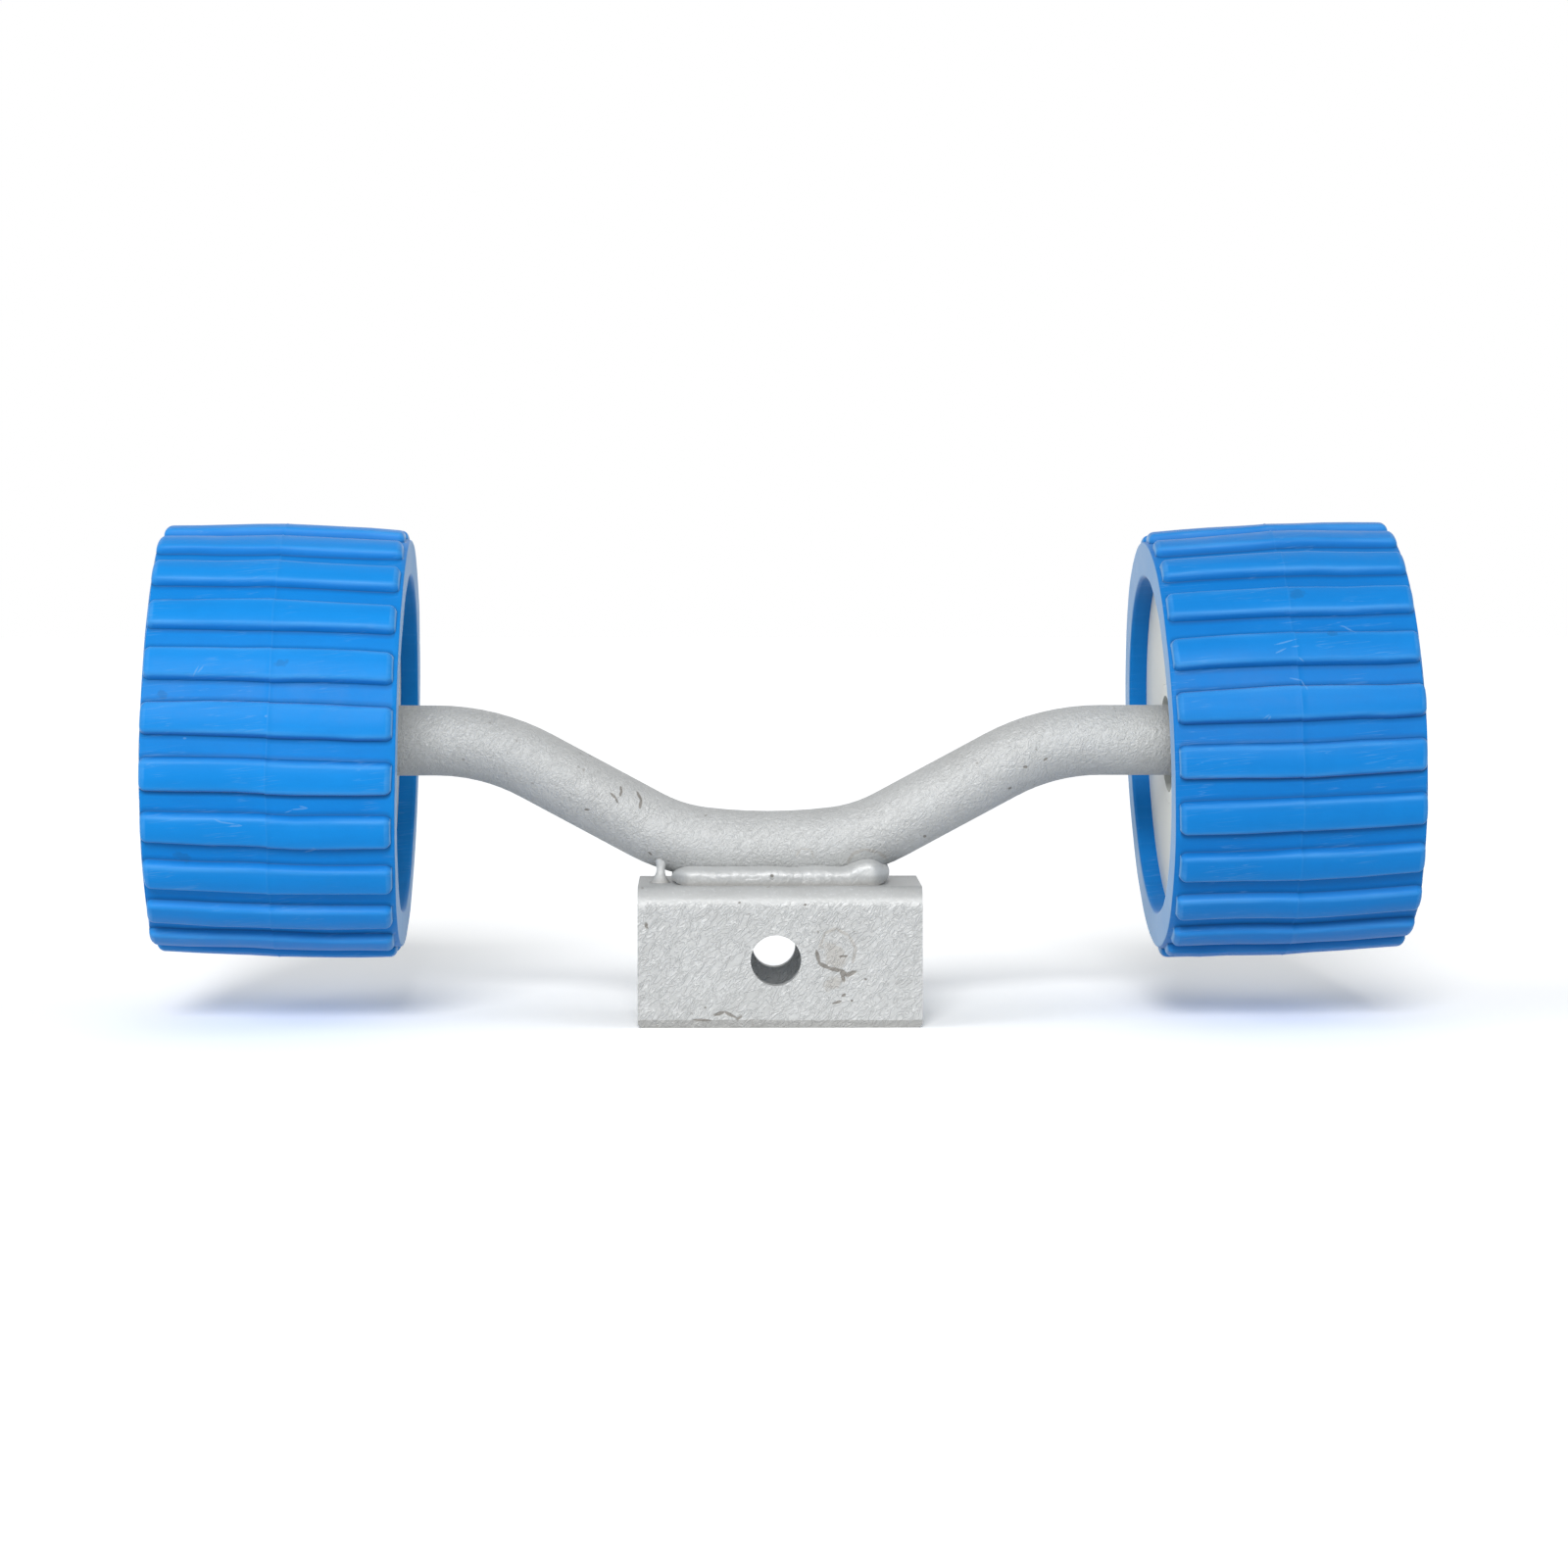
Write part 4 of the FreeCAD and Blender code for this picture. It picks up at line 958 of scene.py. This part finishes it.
def bead_relief(x, share, seed):
    """How far the bead's face stands out at a place; share runs from its foot to the bar."""
    belly = math.sin(math.pi * share)
    centre = BLOB_PLACE if seed == 0 else -BLOB_PLACE
    lag = RIPPLE_LAG * (share - 0.5) ** 2
    phase = x / RIPPLE_PITCH + lag + 0.35 * math.sin(x / (3 * MM) + seed)
    near = math.exp(-((x - RIPPLE_PLACE) / RIPPLE_REACH) ** 2)
    zone = RIPPLE_LEAST + (1 - RIPPLE_LEAST) * near
    relief = RIPPLE_HEIGHT * zone * (abs(math.sin(math.pi * phase)) - 0.6) * belly
    off_blob = math.hypot((x - centre) / BLOB_REACH, (share - 0.55) / 0.55)
    if off_blob < 1:
        relief += BLOB_HEIGHT * (1 - off_blob ** 2)
    relief += LUMP_HEIGHT * belly * lattice.noise(Vector((x / LUMP_LENGTH, share * 2, seed)))
    relief += PIMPLE_HEIGHT * belly * lattice.noise(Vector((x / PIMPLE_LENGTH, share * 5, seed + 3)))
    crater_x, crater_share = CRATER_PLACE
    off = math.hypot((x - crater_x) / CRATER_REACH, (share - crater_share) * 10)
    if seed == 0 and off < 1:
        relief -= CRATER_DEPTH * (1 - off ** 2)
    return relief


def make_weld(name, way, seed, material):
    """One bead between bar and bracket; way is -1 at the front and 1 at the rear."""
    rows = []
    for step in range(BEAD_STEPS + 1):
        along = 2 * step / BEAD_STEPS - 1
        x = along * WELD_HALF_LENGTH + WELD_SHIFT
        to_end = WELD_HALF_LENGTH * (1 - abs(along))
        swell = math.sqrt(1 - (1 - min(1, to_end / BEAD_END)) ** 2)
        centre = bar_height(x)
        blob = math.exp(-((x - (BLOB_PLACE if seed == 0 else -BLOB_PLACE)) / BLOB_REACH) ** 4)
        uneven = TOP_WANDER * lattice.noise(Vector((x / TOP_WANDER_LENGTH, seed, 9)))
        lowest = centre - BAR_RADIUS * math.cos(SMALLEST_GRIP)
        hold_up = max(lowest, BRACKET_TOP + HOLD_HEIGHT + BLOB_CLIMB * blob + uneven)
        hold_out = math.sqrt(BAR_RADIUS ** 2 - (centre - hold_up) ** 2) - SINK
        foot_out = FOOT_OUT + FOOT_WANDER * lattice.noise(Vector((x / FOOT_WANDER_LENGTH, seed, 5)))
        rise = hold_up - BRACKET_TOP
        outward = Vector((0, rise, foot_out - hold_out)).normalized()
        row = []
        for place in range(BEAD_POINTS + 1):
            share = place / BEAD_POINTS
            out, up = bead_profile(share)
            across = hold_out + (foot_out - hold_out) * out
            point = Vector((0, across, BRACKET_TOP - SINK + (rise + SINK) * up))
            row.append(point + outward * bead_relief(x, share, seed))
        root = Vector((0, WELD_ROOT, BRACKET_TOP - SINK))
        top = Vector((0, WELD_ROOT, centre - math.sqrt(BAR_RADIUS ** 2 - WELD_ROOT ** 2) + SINK))
        row += [top, root]
        heart = (root + top) / 2
        row = [heart + (point - heart) * swell for point in row]
        rows.append([(x, way * point.y, point.z) for point in row])
    bead = closed_tube(f"{name}_bead", rows, material)
    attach(bead, "frame")
    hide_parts(name)


def closed_tube(name, rows, material):
    """A smooth closed piece from rings of points, whose end rings close up."""
    mesh = grid_mesh(name, rows, closed_columns=True)
    work = bmesh.new()
    work.from_mesh(mesh)
    bmesh.ops.remove_doubles(work, verts=work.verts, dist=SAME_POINT)
    for face in work.faces:
        face.smooth = True
    work.to_mesh(mesh)
    work.free()
    mesh.materials.append(material)
    return finished_piece(name, mesh)


WEB_PLACE = (-33.7 * MM, -5.5 * MM)
WEB_WAIST = 1 * MM
WEB_SPREAD = 1.7 * MM
WEB_TOP_SPREAD = 0.7 * MM
WEB_SINK = 1.2 * MM
WEB_LEAN = 0.6 * MM
WEB_RINGS = 12
WEB_POINTS = 20


def make_zinc_web(material):
    """A small web of zinc left hanging between the bar and the bracket, beside the front bead."""
    x, y = WEB_PLACE
    low = BRACKET_TOP - SINK
    high = bar_height(x) - math.sqrt(BAR_RADIUS ** 2 - y ** 2) + WEB_SINK
    rows = [[(x, y, low)] * WEB_POINTS]
    for ring in range(WEB_RINGS + 1):
        share = ring / WEB_RINGS
        spread = WEB_SPREAD if share < 0.5 else WEB_TOP_SPREAD
        radius = WEB_WAIST + spread * abs(2 * share - 1) ** 1.8
        z = low + (high - low) * share
        lean = WEB_LEAN * (share - 0.5)
        row = []
        for step in range(WEB_POINTS):
            turn = 2 * math.pi * step / WEB_POINTS
            row.append((x + lean + 1.2 * radius * math.cos(turn), y + radius * math.sin(turn), z))
        rows.append(row)
    rows.append([(x, y, high)] * WEB_POINTS)
    web = closed_tube("zinc_web", rows, material)
    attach(web, "frame")


def dress(node, material):
    """Give a node of the frame its finish."""
    slots = nodes[node].material_slots
    if not slots:
        nodes[node].data.materials.append(material)
        return
    for slot in slots:
        slot.material = material


# Marks that the photograph shows, in millimetres and degrees

def on_tread(x, z, half_x, half_z, turn, ragged):
    """A mark on the front of a roller."""
    up = z - STUB_HEIGHT / MM
    y = -math.sqrt((ROLLER_RADIUS / MM) ** 2 - up ** 2)
    return x, y, z, half_x, half_z, turn, ragged


SCRATCH_HALF_WIDTH = 0.2


def scratches(x, z, *strokes):
    """Thin scratches near a place: each is (right, up, half length, turn)."""
    return [
        on_tread(x + right, z + up, half_length, SCRATCH_HALF_WIDTH, turn, 0.5)
        for right, up, half_length, turn in strokes
    ]


SMUDGES = {
    "left": [
        on_tread(-135.9, 103.5, 2.2, 1.0, 10, 0.5),
        on_tread(-168.4, 95.0, 1.6, 1.2, 0, 0.5),
        on_tread(-164.1, 50.6, 3.0, 1.4, -20, 0.5),
    ],
    "right": [
        on_tread(141.7, 122.0, 2.4, 1.2, 15, 0.5),
        on_tread(150.5, 111.5, 1.6, 0.8, 0, 0.5),
    ],
}

SCUFFS = {
    "left": [
        on_tread(-139.7, 89.4, 0.45, 0.35, 0, 0.3),
        on_tread(-162.0, 83.3, 0.5, 0.3, 0, 0.3),
        *scratches(-131.7, 63.9, (0, 0, 2.6, 4), (-2.4, -0.6, 1.5, 20), (1.8, 0.5, 1.2, -15)),
        *scratches(-150.6, 60.2, (0, 0, 3.4, -8), (2.2, -0.8, 2.0, 3), (-2.6, 0.7, 1.3, -20)),
        *scratches(-128.8, 52.2, (0, 0, 1.8, 12), (1.6, 0.6, 1.0, -30)),
        *scratches(-159.0, 101.5, (0, 0, 1.6, 62), (1.2, 0.4, 1.2, 48)),
    ],
    "right": [
        *scratches(137.6, 107.8, (0, 1.4, 3.0, 14), (-1.6, -1.0, 1.6, 24), (2.6, 0.2, 1.3, 8)),
        *scratches(141.0, 105.2, (0.6, -0.8, 1.0, -40)),
        *scratches(155.3, 112.6, (0, 0, 1.6, -28), (-1.4, 0.7, 1.0, -10)),
        *scratches(140.2, 99.0, (0, 0, 1.7, -12), (1.9, -1.2, 1.3, -62)),
        *scratches(131.5, 89.0, (0, 0, 1.1, 35), (0.9, -0.3, 0.7, 60)),
    ],
}
FRONT_MM = BRACKET_FRONT / MM
BAR_FRONT_MM = -BAR_RADIUS / MM


def line_marks(y, half_width, points):
    """Thin marks along a chain of (x, z) points."""
    marks = []
    for (x_from, z_from), (x_to, z_to) in zip(points, points[1:]):
        half = math.hypot(x_to - x_from, z_to - z_from) / 2
        turn = math.degrees(math.atan2(z_to - z_from, x_to - x_from))
        marks.append(((x_from + x_to) / 2, y, (z_from + z_to) / 2, half + half_width, half_width, turn, 0.25))
    return marks


BRACKET_MARKS = line_marks(FRONT_MM, 0.6, [
    (10.2, 21.6), (10.9, 18.3), (13.3, 17.0), (17.1, 16.1), (17.9, 13.4),
])
BRACKET_MARKS += line_marks(FRONT_MM, 0.7, [(17.1, 16.1), (18.6, 14.9), (21.0, 15.8)])
BRACKET_MARKS += line_marks(FRONT_MM, 0.5, [(-18.6, 3.7), (-15.6, 4.6), (-12.4, 3.0)])
BRACKET_MARKS += line_marks(FRONT_MM, 0.45, [(-12.0, 2.6), (-11.0, 3.3)])
BRACKET_MARKS += line_marks(FRONT_MM, 0.35, [(-24.6, 2.4), (-19.4, 2.2)])
BRACKET_MARKS += [
    (17.7, FRONT_MM, 9.2, 0.9, 0.5, 40, 0.6),
    (16.3, FRONT_MM, 7.3, 1.3, 0.45, 15, 0.6),
    (17.4, FRONT_MM, 20.2, 1.3, 0.35, 5, 0.6),
    (24.0, FRONT_MM, 13.7, 0.4, 0.35, 0, 0.4),
    (-37.6, FRONT_MM, 29.0, 0.5, 0.9, 15, 0.6),
    (20.1, FRONT_MM, 7.7, 0.4, 0.35, 0, 0.3),
    (-21.0, FRONT_MM, 5.8, 0.35, 0.3, 0, 0.3),
    (-11.4, FRONT_MM, 35.3, 0.4, 0.3, 0, 0.3),
    (7.0, FRONT_MM, 34.7, 0.4, 0.3, 0, 0.3),
]
BRACKET_STAINS = line_marks(FRONT_MM, 0.5, [
    (10.9, 22.4), (12.6, 26.8), (15.6, 28.0), (19.2, 26.1), (21.2, 22.4), (20.3, 18.5),
])
BRACKET_STAINS += [
    (15.3, FRONT_MM, 20.2, 4.2, 3.0, -60, 0.5),
    (15.1, FRONT_MM, 12.5, 3.2, 2.0, 20, 0.6),
]
BAR_MARKS = line_marks(BAR_FRONT_MM, 0.35, [(-45.0, 67.1), (-44.7, 65.6), (-45.1, 64.4)])
BAR_MARKS += line_marks(BAR_FRONT_MM, 0.35, [(-47.5, 65.0), (-46.4, 63.9), (-45.8, 62.6)])
BAR_MARKS += line_marks(BAR_FRONT_MM, 0.4, [(-40.2, 65.2), (-39.1, 63.1), (-39.5, 61.2)])
BAR_MARKS += [
    (-54.5, BAR_FRONT_MM, 60.5, 0.8, 0.4, 0, 0.4),
    (75.4, BAR_FRONT_MM, 74.7, 0.8, 0.4, 30, 0.4),
    (69.6, BAR_FRONT_MM, 72.5, 0.7, 0.35, 0, 0.4),
    (65.4, BAR_FRONT_MM, 66.4, 0.6, 0.3, 20, 0.4),
    (41.3, BAR_FRONT_MM, 52.7, 0.5, 0.4, 0, 0.3),
    (-36.6, BAR_FRONT_MM, 47.9, 0.7, 0.3, -40, 0.3),
]
# The first line is a painted shadow: a dark arc on the bar over the weld's nugget. The second is a ring
# stain.
BAR_STAINS_AND_SHADOW = line_marks(BAR_FRONT_MM, 0.55, [
    (19.4, 45.2), (20.8, 47.9), (24.0, 49.2), (28.0, 48.4), (30.5, 46.4),
])
BAR_STAINS_AND_SHADOW += line_marks(BAR_FRONT_MM, 0.25, [(4.6, 47.0), (6.0, 49.4), (8.9, 49.2), (9.8, 46.6)])
# Painted shade in the bead's crater
BEAD_CRATER_SHADE = [(-2.2, -13.5, 42.3, 0.55, 0.5, 0, 0.2)]


# Floor, background and light

FLOOR_HALF = 4.0
FLOOR_COLOUR = (0.8, 0.8, 0.8, 1)
FLOOR_SEEN = (1.5, 1.5, 1.5, 1)
WORLD_COLOUR = (0.95, 0.98, 1.0, 1)
WORLD_LIGHT = 0.31
SUNS = (
    # Name, strength, width, degrees to the left, degrees up
    ("key", 1.98, math.radians(20), 5, 27),
    ("side", 0.7, math.radians(40), 66, 24),
    ("fill", 0.4, math.radians(60), -75, 30),
)


def seen_directly(tree):
    """1 for camera, glossy and transmission rays, which see a white background."""
    rays = tree.nodes.new("ShaderNodeLightPath").outputs
    seen = calculate(tree, "MAXIMUM", rays["Is Camera Ray"], rays["Is Glossy Ray"])
    return calculate(tree, "MAXIMUM", seen, rays["Is Transmission Ray"])


def add_world():
    """Even pale light, with a white background."""
    world = bpy.data.worlds.new("white_room")
    world.use_nodes = True
    tree = world.node_tree
    background = tree.nodes["Background"]
    seen = seen_directly(tree)
    tree.links.new(mix_colour(tree, seen, WORLD_COLOUR, (1, 1, 1, 1)), background.inputs["Color"])
    strength = map_range(tree, seen, 0.0, 1.0, WORLD_LIGHT, 1.0)
    tree.links.new(strength, background.inputs["Strength"])
    bpy.context.scene.world = world


def add_floor():
    """Pale floor that keeps the shadow and fades into the white background."""
    material = bpy.data.materials.new("pale_floor")
    material.use_nodes = True
    tree = material.node_tree
    tree.nodes.remove(tree.nodes["Principled BSDF"])
    colour = mix_colour(tree, seen_directly(tree), FLOOR_COLOUR, FLOOR_SEEN)
    matt = add(tree, "ShaderNodeBsdfDiffuse", {"Color": colour})
    tree.links.new(matt.outputs[0], tree.nodes["Material Output"].inputs["Surface"])
    corners = [(-FLOOR_HALF, -FLOOR_HALF, 0), (FLOOR_HALF, -FLOOR_HALF, 0)]
    corners += [(FLOOR_HALF, FLOOR_HALF, 0), (-FLOOR_HALF, FLOOR_HALF, 0)]
    mesh = bpy.data.meshes.new("floor")
    mesh.from_pydata(corners, [], [(0, 1, 2, 3)])
    mesh.materials.append(material)
    link(bpy.data.objects.new("floor", mesh))


def add_sun(name, strength, angle, side_degrees, height_degrees):
    """A soft far lamp; side is measured from the camera's side towards the left."""
    data = bpy.data.lights.new(name, "SUN")
    data.energy = strength
    data.angle = angle
    side = math.radians(side_degrees)
    height = math.radians(height_degrees)
    level = math.cos(height)
    origin = Vector((-math.sin(side) * level, -math.cos(side) * level, math.sin(height)))
    lamp = link(bpy.data.objects.new(name, data))
    lamp.rotation_euler = origin.to_track_quat("Z", "Y").to_euler()


add_camera()
add_world()
add_floor()
for sun in SUNS:
    add_sun(*sun)

steel = plated_steel("plated_steel")
nylon = pale_nylon("pale_nylon")
bracket_zinc = galvanised("bracket", BRACKET_MARKS, BRACKET_STAINS, strokes=0.7, grains=0.5, metallic=0.24)
bar_zinc = galvanised("bar", BAR_MARKS, BAR_STAINS_AND_SHADOW, strokes=0.35, grains=1.7, metallic=0.35, rough=0.03)
weld_zinc = galvanised("weld", BEAD_CRATER_SHADE, [], strokes=0.15, grains=0.4, metallic=0.35, rough=0.1)
dress("bracket_channel", bracket_zinc)
dress("axle_bar", bar_zinc)
make_weld("weld_front", -1, 0, weld_zinc)
make_weld("weld_rear", 1, 1, weld_zinc)
make_zinc_web(weld_zinc)
for seed, side in enumerate(SIDES):
    blue = moulded_blue(side, BLUE_SIDE_SHADE[side], SMUDGES[side], SCUFFS[side])
    make_tyre(side, blue, seed)
    make_screws(side, steel)
    dress(f"{side}_washer", steel)
    dress(f"{side}_split_pin", steel)
    for part in ("hub_inner", "hub_outer", "wobble_bush"):
        dress(f"{side}_{part}", nylon)

bpy.context.scene.view_settings.view_transform = "Standard"
